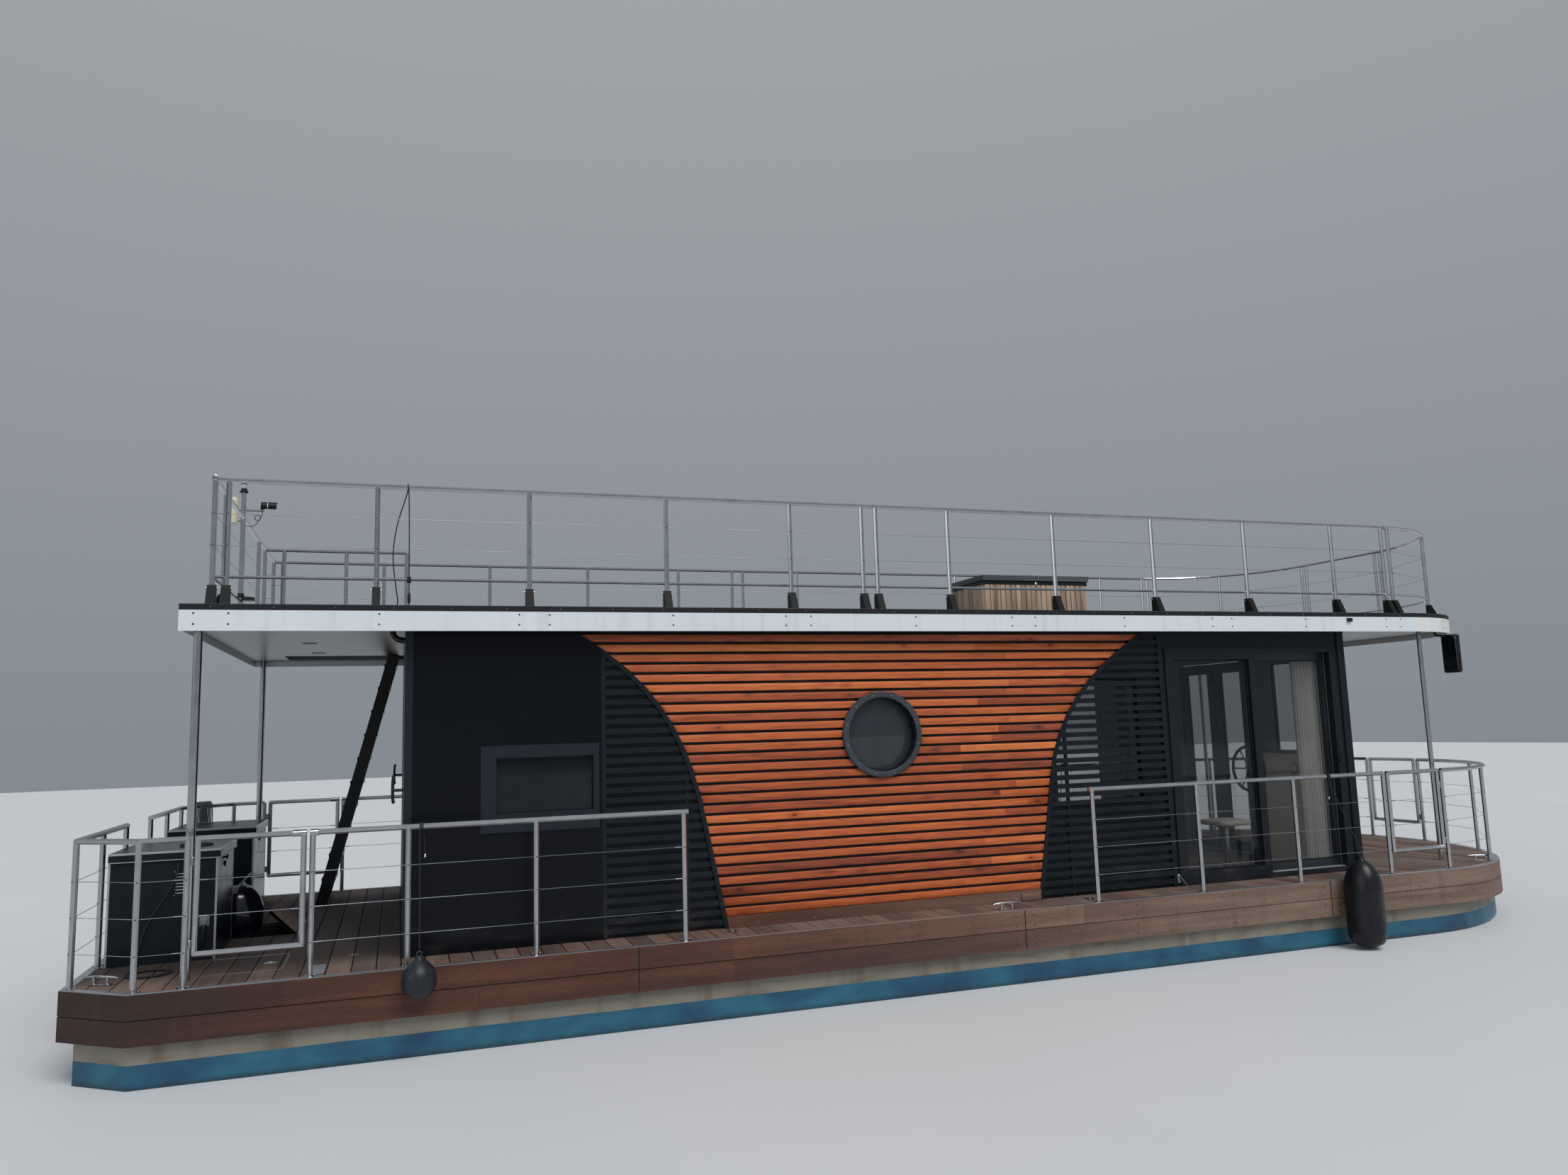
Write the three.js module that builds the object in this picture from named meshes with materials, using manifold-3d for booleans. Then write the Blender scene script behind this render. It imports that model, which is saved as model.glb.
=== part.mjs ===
// Houseboat: a cabin on a broad timber-edged deck, carried by two flat-bottomed pontoons.
// Millimetres. X runs to the bow, Y to port, Z up from the underside of the pontoons.
import * as THREE from 'three';
import { mergeVertices } from 'three/addons/utils/BufferGeometryUtils.js';
import Module from 'manifold-3d';

const wasm = await Module();
wasm.setup();

// Driving dimensions
const gap = 0.3; // between fixed pieces that touch
const play = 5; // round anything that moves
const deckTop = 1130;
const hull = { half: 2407, stern: -7210, chamferX: 480, chamferY: 388, bowCentre: 5300, bowReach: 1910 };
const pontoon = {
  outer: 2340, inner: 1240, stern: -7100, cornerX: -6717, cornerY: 2030,
  stem: 6480, stemY: 1800, top: 1030 - gap,
};
const platform = { under: 1030, inset: 40 };
const skirt = { low: 795, seam: 962, groove: 8, thick: 40, bowFrom: 5300 };
const well = {
  half: 380, fore: -5835, cheek: 20, transom: -6500, transomTop: 920, transomLow: 560, plate: 40,
};
const cabin = { aft: -4989, fore: 4480, out: 1950, wall: 70, panel: 1974, panelFore: -3460 };
const roof = {
  half: 2161, aft: -6545, cornerX: 5327, cornerR: 1300, turn: 86, under: 3655,
  fasciaLow: 3599, fasciaTop: 3752, fasciaThick: 25, top: 3798,
};
const stairHole = { aft: -6150, fore: -4985, low: 1290, high: 1930 };
const rail = { y: 2329, top: 2130, low: 1350, tube: 21, bowReach: 1880, stern: -7150 };
const terrace = {
  y: 2058, top: 4745, bar: 4010, tube: 20, thin: 12, corner: 1500, cornerX: 5090, aft: -6350,
};

const paint = {
  hullGrey: [0x85857c, 0.6, 0.0], deck: [0x4b3a35, 0.8, 0.0], skirt: [0x5f3c2d, 0.8, 0.0],
  anthracite: [0x23282f, 0.55, 0.1], timber: [0xb4602a, 0.6, 0.0], white: [0xccd4d9, 0.4, 0.0],
  roofDark: [0x1e2328, 0.6, 0.0], steel: [0xc4c7ca, 0.2, 1.0], locker: [0x3a444b, 0.5, 0.1],
  black: [0x15171a, 0.5, 0.0], motor: [0x141c2b, 0.25, 0.2], pale: [0xd8d6cf, 0.6, 0.0],
  slats: [0x96785a, 0.7, 0.0],
};
const boat = new THREE.Group();

// Triangles are turned round where a geometry comes out inside out, as a mirrored one does.
function outward(geometry) {
  const plain = geometry.index ? geometry.toNonIndexed() : geometry.clone();
  for (const name of ['normal', 'uv']) plain.deleteAttribute(name);
  const spots = plain.attributes.position.array;
  const [a, b, c] = [new THREE.Vector3(), new THREE.Vector3(), new THREE.Vector3()];
  let volume = 0;
  for (let i = 0; i < spots.length; i += 9) {
    [a, b, c].forEach((corner, k) => corner.fromArray(spots, i + 3 * k));
    volume += a.dot(b.cross(c));
  }
  if (volume < 0) {
    for (let i = 0; i < spots.length; i += 9) {
      for (let k = 0; k < 3; k += 1) {
        [spots[i + 3 + k], spots[i + 6 + k]] = [spots[i + 6 + k], spots[i + 3 + k]];
      }
    }
  }
  return mergeVertices(plain, 1e-3);
}

function toSolid(geometry) {
  const merged = outward(geometry);
  const vertProperties = new Float32Array(merged.attributes.position.array);
  const triVerts = new Uint32Array(merged.index.array);
  return new wasm.Manifold(new wasm.Mesh({ numProp: 3, vertProperties, triVerts }));
}

function toGeometry(solid) {
  const mesh = solid.getMesh();
  const geometry = new THREE.BufferGeometry();
  geometry.setAttribute('position', new THREE.BufferAttribute(new Float32Array(mesh.vertProperties), 3));
  geometry.setIndex(new THREE.BufferAttribute(new Uint32Array(mesh.triVerts), 1));
  return geometry;
}

function join(...geometries) {
  let whole = toSolid(geometries[0]);
  for (const other of geometries.slice(1)) whole = whole.add(toSolid(other));
  return toGeometry(whole);
}

function cut(geometry, ...tools) {
  let rest = toSolid(geometry);
  for (const tool of tools) rest = rest.subtract(toSolid(tool));
  return toGeometry(rest);
}

function common(geometry, other) {
  return toGeometry(toSolid(geometry).intersect(toSolid(other)));
}

function add(name, geometry, colour, parent = boat) {
  const [color, roughness, metalness] = paint[colour];
  const material = new THREE.MeshStandardMaterial({ color, roughness, metalness });
  const mesh = new THREE.Mesh(outward(geometry), material);
  mesh.name = name;
  parent.add(mesh);
}

function acrossCentre(geometry) {
  return geometry.clone().scale(1, -1, 1);
}

// A piece drawn on the starboard side, and its mirror image to port
function addPair(name, geometry, colour) {
  add(`${name}_starboard`, geometry, colour);
  add(`${name}_port`, acrossCentre(geometry), colour);
}

function box(x0, x1, y0, y1, z0, z1) {
  const geometry = new THREE.BoxGeometry(x1 - x0, y1 - y0, z1 - z0);
  return geometry.translate((x0 + x1) / 2, (y0 + y1) / 2, (z0 + z1) / 2);
}

function toShape(points) {
  return new THREE.Shape(points.map(([x, y]) => new THREE.Vector2(x, y)));
}

function extrude(outline, depth) {
  const shape = Array.isArray(outline) ? toShape(outline) : outline;
  return new THREE.ExtrudeGeometry(shape, { depth, bevelEnabled: false, curveSegments: 16 });
}

// Outline in (X, Y) from z0 up to z1
function plate(outline, z0, z1) {
  return extrude(outline, z1 - z0).translate(0, 0, z0);
}

// Outline in (X, Z) from y0 to y1
function sidePlate(outline, y0, y1) {
  return extrude(outline, y1 - y0).rotateX(Math.PI / 2).translate(0, y1, 0);
}

// Outline in (Y, Z) from x0 to x1
function crossPlate(outline, x0, x1) {
  return extrude(outline, x1 - x0).rotateX(Math.PI / 2).rotateZ(Math.PI / 2).translate(x0, 0, 0);
}

function rod(from, to, radius, sides = 8) {
  const start = new THREE.Vector3(...from);
  const line = new THREE.Vector3(...to).sub(start);
  const geometry = new THREE.CylinderGeometry(radius, radius, line.length(), sides);
  geometry.rotateY(Math.PI / sides).translate(0, line.length() / 2, 0);
  const turn = new THREE.Quaternion().setFromUnitVectors(new THREE.Vector3(0, 1, 0), line.normalize());
  return geometry.applyQuaternion(turn).translate(...from);
}

// Round tube through a row of points, with a ball at each bend
function rods(points, radius, sides = 8) {
  const parts = [];
  points.forEach((point, i) => {
    if (i > 0) parts.push(rod(points[i - 1], point, radius, sides));
    if (i > 0 && i < points.length - 1) {
      parts.push(new THREE.SphereGeometry(radius * 1.02, 8, 6).translate(...point));
    }
  });
  return parts;
}

// Round tube along a smooth curve
function bent(points, radius, steps) {
  const corners = [0, 1, 2, 3, 4, 5, 6, 7].map((i) => [
    radius * Math.cos((i * Math.PI) / 4), radius * Math.sin((i * Math.PI) / 4),
  ]);
  const extrudePath = new THREE.CatmullRomCurve3(points.map((point) => new THREE.Vector3(...point)));
  return new THREE.ExtrudeGeometry(toShape(corners), { extrudePath, steps, bevelEnabled: false });
}

// Ring or drum round an axis along Y
function drum(x, z, inner, outer, y0, y1, sides = 24) {
  const profile = [[inner, y0], [outer, y0], [outer, y1], [inner, y1]];
  if (inner > 0) profile.push(profile[0]);
  const points = profile.map(([r, y]) => new THREE.Vector2(r, y));
  return new THREE.LatheGeometry(points, sides).translate(x, 0, z);
}

// Moves a closed anticlockwise outline inwards by a distance.
function inset(points, by) {
  const count = points.length;
  return points.map((point, i) => {
    const ends = [[points[(i + count - 1) % count], point], [point, points[(i + 1) % count]]];
    const [[ax, ay], [bx, by2]] = ends.map(([a, b]) => {
      const length = Math.hypot(b[0] - a[0], b[1] - a[1]);
      return [-(b[1] - a[1]) / length, (b[0] - a[0]) / length];
    });
    const scale = by / (1 + ax * bx + ay * by2);
    return [point[0] + scale * (ax + bx), point[1] + scale * (ay + by2)];
  });
}

// A point on the centre plane is kept once.
function bothHalves(half) {
  const other = half.filter(([, y]) => Math.abs(y) > 1).map(([x, y]) => [x, -y]);
  return [...half, ...other.reverse()];
}

// Deck edge in plan: straight sides, cut stern corners and an elliptical bow
function deckOutline() {
  const half = [
    [hull.stern, hull.chamferY - hull.half],
    [hull.stern + hull.chamferX, -hull.half],
  ];
  const steps = 15;
  for (let i = 0; i <= steps; i += 1) {
    const turn = (i / steps) * (Math.PI / 2);
    half.push([hull.bowCentre + hull.bowReach * Math.sin(turn), -hull.half * Math.cos(turn)]);
  }
  return bothHalves(half);
}

// Roof edge in plan: straight sides, round front corners and a slightly bowed front
function roofOutline() {
  const half = [[roof.aft, -roof.half]];
  const cornerY = roof.half - roof.cornerR;
  const steps = 9;
  for (let i = 0; i <= steps; i += 1) {
    const turn = THREE.MathUtils.degToRad((i / steps) * roof.turn);
    half.push([roof.cornerX + roof.cornerR * Math.sin(turn), -(cornerY + roof.cornerR * Math.cos(turn))]);
  }
  const [endX, endY] = half[half.length - 1];
  const rise = Math.abs(endY) * Math.tan(THREE.MathUtils.degToRad((90 - roof.turn) / 2));
  half.push([endX + rise * 0.75, endY / 2]);
  half.push([endX + rise, endY / 8]);
  return bothHalves(half);
}

// Hull and deck
function pontoonOutline() {
  const { outer, inner, stern, stem, stemY, cornerX, cornerY } = pontoon;
  const outside = new THREE.CubicBezierCurve(
    new THREE.Vector2(4950, -outer), new THREE.Vector2(5650, -outer),
    new THREE.Vector2(6120, -2060), new THREE.Vector2(stem, -stemY),
  );
  const inside = new THREE.QuadraticBezierCurve(
    new THREE.Vector2(stem, -stemY), new THREE.Vector2(6080, -1330), new THREE.Vector2(5300, -inner),
  );
  const bow = [...outside.getPoints(8), ...inside.getPoints(6).slice(1)].map(({ x, y }) => [x, y]);
  const quarter = [[stern, -cornerY], [cornerX, -outer]];
  return [...quarter, ...bow, [stern, -inner]];
}
addPair('pontoon', plate(pontoonOutline(), 0, pontoon.top), 'hullGrey');

// Deck slab with the stern well: its cheeks, its front and the transom that carries the motor
function deckPlatform() {
  const slab = plate(inset(deckOutline(), platform.inset), platform.under, deckTop);
  const opening = box(hull.stern - 10, well.fore, -well.half, well.half, platform.under - 10, deckTop + 10);
  const boxOut = well.half + well.cheek;
  const cheekTop = platform.under + 5;
  const cheek = box(hull.stern + 60, well.fore, -boxOut, -well.half, well.transomLow, cheekTop);
  const front = box(well.fore, well.fore + well.cheek, -boxOut, boxOut, well.transomLow, cheekTop);
  const transom = box(
    well.transom - well.plate / 2, well.transom + well.plate / 2,
    -well.half - 5, well.half + 5, well.transomLow, well.transomTop,
  );
  return join(cut(slab, opening), cheek, acrossCentre(cheek), front, transom);
}
add('deck_platform', deckPlatform(), 'deck');

// Edge boards, two high, with a groove between them, open where the stern well is
function skirtRing() {
  const outline = deckOutline();
  const core = plate(inset(outline, skirt.groove), skirt.low, deckTop);
  const low = plate(outline, skirt.low, skirt.seam - skirt.groove / 2);
  const high = plate(outline, skirt.seam + skirt.groove / 2, deckTop);
  const hollow = plate(inset(outline, skirt.thick - gap), skirt.low - 5, deckTop + 5);
  const wellCut = box(hull.stern - 10, hull.stern + 100, -well.half, well.half, 0, deckTop + 10);
  return cut(join(core, low, high), hollow, wellCut);
}
const ring = skirtRing();
const skirtEnd = skirt.bowFrom - gap;
add('skirt_bow', common(ring, box(skirt.bowFrom, 9000, -3000, 3000, 0, 2000)), 'skirt');
addPair('skirt', common(ring, box(-9000, skirtEnd, -3000, 0, 0, 2000)), 'skirt');

// Cabin
const wall = { low: deckTop + gap, top: roof.under - gap, in: cabin.out - cabin.wall };
// Openings in each long wall
const wallHoles = {
  aftWindow: { x0: -4300, x1: -3530, z0: 2170, z1: 2600 },
  slatWindow: { x0: 820, x1: 1820, z0: 1950, z1: 3150 },
  fixedGlass: { x0: 2275, x1: 3205, z0: 1260, z1: 3330 },
  doorway: { x0: 3290, x1: 4270, z0: 1180, z1: 3400 },
};
const windowFrame = { x0: -4416, x1: -3483, z0: 2019, z1: 2699, proud: 18 };
const doorUnit = { x0: 2170, x1: 4290, z0: 1136, z1: 3442, proud: 16 };
const cornerPost = { x0: 4391, proud: 16 };
const porthole = { x: -950, z: 2690, glass: 330, ring: 380, proud: 62 };
const bite = 5; // how far a piece reaches into the one that it is joined to

function rectangle({ x0, x1, z0, z1 }) {
  return [[x0, z0], [x1, z0], [x1, z1], [x0, z1]];
}

function withHoles(outline, ...holes) {
  const shape = toShape(outline);
  for (const hole of holes) shape.holes.push(new THREE.Path(hole.map(([x, z]) => new THREE.Vector2(x, z))));
  return shape;
}

// Timber field between two arcs that bow towards each other at the bottom, on a plinth board
const timber = { low: 1222, top: 3600, thick: 30, plinth: 46, clear: 3 };
function timberOutline() {
  const left = new THREE.CubicBezierCurve(
    new THREE.Vector2(-3643, 3595), new THREE.Vector2(-3006, 3200),
    new THREE.Vector2(-2734, 2771), new THREE.Vector2(-2588, 2035),
  ).getPoints(9);
  const right = new THREE.CubicBezierCurve(
    new THREE.Vector2(1905, 3606), new THREE.Vector2(1340, 3306),
    new THREE.Vector2(852, 2872), new THREE.Vector2(760, 2238),
  ).getPoints(9);
  return [[-3738, wall.top], ...left.map(({ x, y }) => [x, y]), [-2411, wall.low],
    [570, wall.low], ...right.reverse().map(({ x, y }) => [x, y]), [1996, wall.top]];
}

function timberField() {
  const { low, top, thick, plinth, clear } = timber;
  const back = -cabin.out - gap;
  const field = common(
    sidePlate(timberOutline(), -cabin.out - thick, back), box(-4000, 3000, -3000, 0, low, top),
  );
  const foot = common(
    sidePlate(timberOutline(), -cabin.out - plinth, back), box(-4000, 3000, -3000, 0, 0, low + bite),
  );
  const bore = drum(porthole.x, porthole.z, 0, porthole.ring + clear, -3000, -1000);
  return cut(join(field, foot), bore);
}
addPair('timber_cladding', timberField(), 'timber');

// Slat screens run from the arcs' trims to an upright strip, over an upright batten
const trim = { wide: 38, proud: 40 };
const slat = { pitch: 80, high: 46, back: 12, front: 28, first: 1185, last: 3585 };
const slatZones = {
  aft: { x0: cabin.panelFore, x1: -2400, strip: [cabin.panelFore, -3425], batten: [-2760, -2730] },
  fore: { x0: 560, x1: 2110, strip: [2080, 2115], batten: [945, 973] },
};

function slatScreens() {
  const solids = [];
  for (const { x0, x1, strip, batten } of Object.values(slatZones)) {
    for (let z = slat.first; z <= slat.last; z += slat.pitch) {
      const [low, high] = [z - slat.high / 2, z + slat.high / 2];
      solids.push(box(x0, x1, -cabin.out - slat.front, -cabin.out - slat.back, low, high));
    }
    solids.push(box(...strip, -cabin.out - trim.proud + 10, bite - cabin.out, wall.low, wall.top));
    solids.push(box(...batten, -cabin.out - slat.back - bite, bite - cabin.out, wall.low, wall.top));
  }
  const field = sidePlate(inset(timberOutline(), bite - trim.wide), -3000, 0);
  return cut(join(...solids), field);
}

function arcTrims() {
  const outer = sidePlate(inset(timberOutline(), -trim.wide), -cabin.out - trim.proud, bite - cabin.out);
  const ring = cut(outer, sidePlate(inset(timberOutline(), -gap), -3000, 0));
  return common(ring, box(-4000, 3000, -3000, 0, wall.low, wall.top));
}

// Long wall with its windows, doorway, porthole ring and slat screens; its aft end is a thicker flush panel.
function sideWall() {
  const { aftWindow, fixedGlass, doorway } = wallHoles;
  const outline = rectangle({ x0: cabin.aft, x1: cabin.fore, z0: wall.low, z1: wall.top });
  const shell = withHoles(outline, ...Object.values(wallHoles).map(rectangle));
  const panelEdge = rectangle({ x0: cabin.aft, x1: cabin.panelFore, z0: wall.low, z1: wall.top });
  const panel = cut(
    sidePlate(withHoles(panelEdge, rectangle(aftWindow)), -cabin.panel, bite - cabin.out),
    sidePlate(inset(timberOutline(), -gap), -3000, -cabin.out),
  );
  const frame = sidePlate(
    withHoles(rectangle(windowFrame), rectangle(aftWindow)),
    -cabin.panel - windowFrame.proud, bite - cabin.panel,
  );
  const unit = sidePlate(
    withHoles(rectangle(doorUnit), rectangle(fixedGlass), rectangle(doorway)),
    -cabin.out - doorUnit.proud, bite - cabin.out,
  );
  const post = box(
    cornerPost.x0, cabin.fore, -cabin.out - cornerPost.proud, bite - cabin.out, wall.low, timber.top + bite,
  );
  const band = box(
    -3760, cabin.fore, -cabin.out - slat.front, bite - cabin.out, timber.top + gap, wall.top,
  );
  const bore = drum(porthole.x, porthole.z, 0, porthole.glass, -cabin.out - 10, 10 - wall.in);
  const tube = drum(
    porthole.x, porthole.z, porthole.glass, porthole.ring, -cabin.out - porthole.proud, bite - cabin.out,
  );
  return join(
    cut(sidePlate(shell, -cabin.out, -wall.in), bore), panel, frame, unit, post, band, tube,
    arcTrims(), slatScreens(),
  );
}
addPair('cabin_wall', sideWall(), 'anthracite');

// End walls stand between the long ones.
const endHalf = wall.in - gap;
const doorGap = 8;
const aftDoor = { half: 420, low: 1160, high: 3190, thick: 50 };
const bowDoor = { half: 597, middle: 6, low: 1160, high: 3390, thick: 50 };
const bowWindow = { x0: 949, x1: 1549, z0: 1330, z1: 3330 };

function endDoorway({ half, low, high }) {
  return rectangle({ x0: -half - doorGap, x1: half + doorGap, z0: low - doorGap, z1: high + doorGap });
}

const endWall = rectangle({ x0: -endHalf, x1: endHalf, z0: wall.low, z1: wall.top });
add('cabin_wall_aft', crossPlate(withHoles(endWall, endDoorway(aftDoor)), cabin.aft, cabin.aft + cabin.wall),
  'anthracite');

function bowWall() {
  const window = rectangle(bowWindow);
  const other = rectangle({ ...bowWindow, x0: -bowWindow.x1, x1: -bowWindow.x0 });
  const shape = withHoles(endWall, endDoorway(bowDoor), window, other);
  return crossPlate(shape, cabin.fore - cabin.wall, cabin.fore);
}
add('cabin_wall_bow', bowWall(), 'anthracite');

// A door leaf is a frame round a glazed opening.
const leafFrame = 105;
function leaf({ x0, x1, z0, z1 }, low = leafFrame) {
  const glass = { x0: x0 + leafFrame, x1: x1 - leafFrame, z0: z0 + low, z1: z1 - leafFrame };
  return withHoles(rectangle({ x0, x1, z0, z1 }), rectangle(glass));
}
const slidingLeaf = { x0: 3195, x1: 4330, z0: 1150, z1: 3425, near: 1870, thick: 45 };
addPair('sliding_door', sidePlate(leaf(slidingLeaf), -slidingLeaf.near, slidingLeaf.thick - slidingLeaf.near),
  'anthracite');

const doorAft = { x0: -aftDoor.half, x1: aftDoor.half, z0: aftDoor.low, z1: aftDoor.high };
add('aft_door', crossPlate(leaf(doorAft, 900), cabin.aft + 10, cabin.aft + 10 + aftDoor.thick), 'anthracite');
const doorBow = { x0: -bowDoor.half, x1: -bowDoor.middle, z0: bowDoor.low, z1: bowDoor.high };
const bowLeafFore = cabin.fore - 10;
addPair('bow_door', crossPlate(leaf(doorBow), bowLeafFore - bowDoor.thick, bowLeafFore), 'anthracite');

// Roof slab, dark at its upper edge, with the stair opening; the white fascia runs round below that edge.
function roofSlab() {
  const outline = roofOutline();
  const low = plate(inset(outline, roof.fasciaThick), roof.under, roof.top - 5);
  const high = plate(outline, roof.fasciaTop + gap, roof.top);
  const hole = box(stairHole.aft, stairHole.fore, stairHole.low, stairHole.high, 3000, 4000);
  return cut(join(low, high), hole);
}
add('roof_slab', roofSlab(), 'roofDark');
const fasciaRing = cut(
  plate(roofOutline(), roof.fasciaLow, roof.fasciaTop),
  plate(inset(roofOutline(), roof.fasciaThick - gap), 3000, 4000),
);
addPair('roof_fascia', common(fasciaRing, box(-9000, 9000, -3000, -gap / 2, 3000, 4000)), 'white');

// Roof posts: x, y from the centre plane, radius
const roofPosts = { aft: [-6425, 2075, 30], bow: [5740, 1809, 25] };
for (const [name, [x, y, radius]] of Object.entries(roofPosts)) {
  addPair(`roof_post_${name}`, rod([x, -y, wall.low], [x, -y, wall.top], radius, 12), 'steel');
}

// Deck rails: posts from the deck to a top tube
function railPosts(spots, radius, low, high) {
  return spots.map(([x, y]) => rod([x, y, low], [x, y, high], radius));
}
const railLow = deckTop + gap;
const gate = { aft: [-6400, -5601], bow: [4452, 5242], centre: 389 };

function straightRail(xs, past) {
  const start = [xs[0] - past[0], -rail.y, rail.top];
  const end = [xs[xs.length - 1] + past[1], -rail.y, rail.top];
  const posts = railPosts(xs.map((x) => [x, -rail.y]), rail.tube, railLow, rail.top);
  return join(rod(start, end, rail.tube), ...posts);
}
addPair('deck_rail_aft', straightRail([gate.aft[1], -4950, -4025, -2867], [0, 36]), 'steel');
addPair('deck_rail_fore', straightRail([968, 2129, 3291, gate.bow[0]], [36, 0]), 'steel');

function sternRail() {
  const corner = [rail.stern, -1992];
  const path = [[rail.stern, -450], corner, [-6700, -rail.y], [gate.aft[0], -rail.y]];
  const posts = [[rail.stern, -479], [rail.stern, -1240], corner, path[2], path[3]];
  return join(...rods(path.map(([x, y]) => [x, y, rail.top]), rail.tube),
    ...railPosts(posts, rail.tube, railLow, rail.top));
}
addPair('deck_rail_stern', sternRail(), 'steel');

function bowPoint(y) {
  return [hull.bowCentre + rail.bowReach * Math.sqrt(1 - (y / rail.y) ** 2), y];
}

function bowRail() {
  const first = [gate.bow[1], -rail.y];
  const turns = [6, 12, 24, 36, 48, 60, 72];
  const curve = turns.map((turn) => bowPoint(-rail.y * Math.cos(THREE.MathUtils.degToRad(turn))));
  const path = [first, ...curve, bowPoint(-gate.centre)];
  const posts = [first, ...[-2129, -1399, -gate.centre].map(bowPoint)];
  return join(bent(path.map(([x, y]) => [x, y, rail.top]), rail.tube, 14),
    ...railPosts(posts, rail.tube, railLow, rail.top));
}
addPair('deck_rail_bow', bowRail(), 'steel');

// Gates: a frame between two posts, clear of them, with its hinge brackets left to the posts
const gateSlack = 38;
function gateFrame(from, to) {
  const line = new THREE.Vector2(to[0] - from[0], to[1] - from[1]);
  const step = line.clone().setLength(gateSlack + rail.tube);
  const a = [from[0] + step.x, from[1] + step.y];
  const b = [to[0] - step.x, to[1] - step.y];
  const over = line.clone().setLength(10);
  const ends = [[a[0] - over.x, a[1] - over.y, rail.top], [b[0] + over.x, b[1] + over.y, rail.top]];
  const top = rod(...ends, rail.tube);
  const frame = [a, b].map((p) => rod([...p, rail.low], [...p, rail.top], rail.tube));
  const bottom = rod([...a, rail.low], [...b, rail.low], rail.tube);
  const balls = [a, b].map((p) => new THREE.SphereGeometry(rail.tube * 1.02, 8, 6).translate(...p, rail.low));
  return join(top, ...frame, bottom, ...balls);
}
addPair('gate_aft', gateFrame([gate.aft[0], -rail.y], [gate.aft[1], -rail.y]), 'steel');
addPair('gate_fore', gateFrame([gate.bow[0], -rail.y], [gate.bow[1], -rail.y]), 'steel');
add('gate_bow', gateFrame(bowPoint(-gate.centre), bowPoint(gate.centre)), 'steel');

// Roof terrace rails: posts on wedge brackets, a top tube and a thin lower bar
const terraceLow = roof.top + gap;
function bracket([x, y, turn, reach = 97]) {
  const wedge = [[-25, 0], [reach, 0], [30, 147], [-25, 147]].map(([out, up]) => [-out, terraceLow + up]);
  const geometry = crossPlate(wedge, -30, 30);
  return geometry.rotateZ(THREE.MathUtils.degToRad(turn)).translate(x, y, 0);
}

// Posts are given as x, y, the bracket's turn from facing starboard and its reach.
function terraceRail(path, posts, steps = 0) {
  const at = (z) => path.map(([x, y]) => [x, y, z]);
  const tube = (z, radius) => (steps ? bent(at(z), radius, steps) : rod(...at(z), radius));
  return join(tube(terrace.top, terrace.tube), tube(terrace.bar, terrace.thin),
    ...railPosts(posts, terrace.tube, terraceLow, terrace.top), ...posts.map(bracket));
}
const sidePosts = [-6255, -5209, -4048, -2910, -1794, -1105, -964, -237, 895, 2039, 3182, 4339, 5047];
addPair('terrace_rail', terraceRail(
  [[terrace.aft, -terrace.y], [5047, -terrace.y]],
  [terrace.aft, ...sidePosts].map((x) => [x, -terrace.y, 0]),
), 'steel');

function terraceBow() {
  const centreY = terrace.y - terrace.corner;
  const onCorner = (turn) => {
    const angle = THREE.MathUtils.degToRad(turn);
    return [
      terrace.cornerX + terrace.corner * Math.sin(angle), -centreY - terrace.corner * Math.cos(angle),
    ];
  };
  const half = [[5098, -terrace.y], ...[3, 20, 34, 48, 62, 76, 90].map(onCorner), [6590, -250]];
  const frontReach = 45; // the front posts stand close to the roof's edge
  const posts = [
    [5140, -terrace.y, 0], [...onCorner(42), 42], [...onCorner(87), 87, frontReach],
    [...onCorner(90), 90, frontReach],
  ];
  const other = posts.map(([x, y, turn, reach]) => [x, -y, 180 - turn, reach]);
  return terraceRail(bothHalves(half), [...posts, ...other], 30);
}
add('terrace_rail_bow', terraceBow(), 'steel');

// Mast against the aft terrace rail: a camera on an arm and a domed aerial
const mast = {
  y: -499, top: 5060, radius: 22, armZ: 4820, armReach: 165, armRadius: 9, collar: 36, collarZ: 4978,
};
const camera = { x0: 145, x1: 258, z: 4866, radius: 26, neck: 150, neckRadius: 14 };
const aerial = { x: -76, low: 4704, high: 4937, radius: 33, stub: 8 };
function mastGroup() {
  const { y, top, radius, armZ, armReach, armRadius, collar, collarZ } = mast;
  const x = terrace.aft;
  const domeZ = aerial.high - aerial.radius;
  const dome = new THREE.SphereGeometry(aerial.radius, 12, 8).rotateX(Math.PI / 2);
  return [
    rod([x, y, terraceLow], [x, y, top], radius),
    rod([x, y, collarZ], [x, y, collarZ + 8], collar, 16),
    rod([x, y, armZ], [x + armReach, y, armZ], armRadius),
    rod([x + camera.neck, y, armZ], [x + camera.neck, y, camera.z], camera.neckRadius),
    rod([x + camera.x0, y, camera.z], [x + camera.x1, y, camera.z], camera.radius, 12),
    rod([x, y, aerial.low + 20], [x + aerial.x, y, aerial.low + 20], aerial.stub),
    rod([x + aerial.x, y, aerial.low], [x + aerial.x, y, domeZ], aerial.radius, 12),
    dome.translate(x + aerial.x, y, domeZ),
  ];
}

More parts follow.
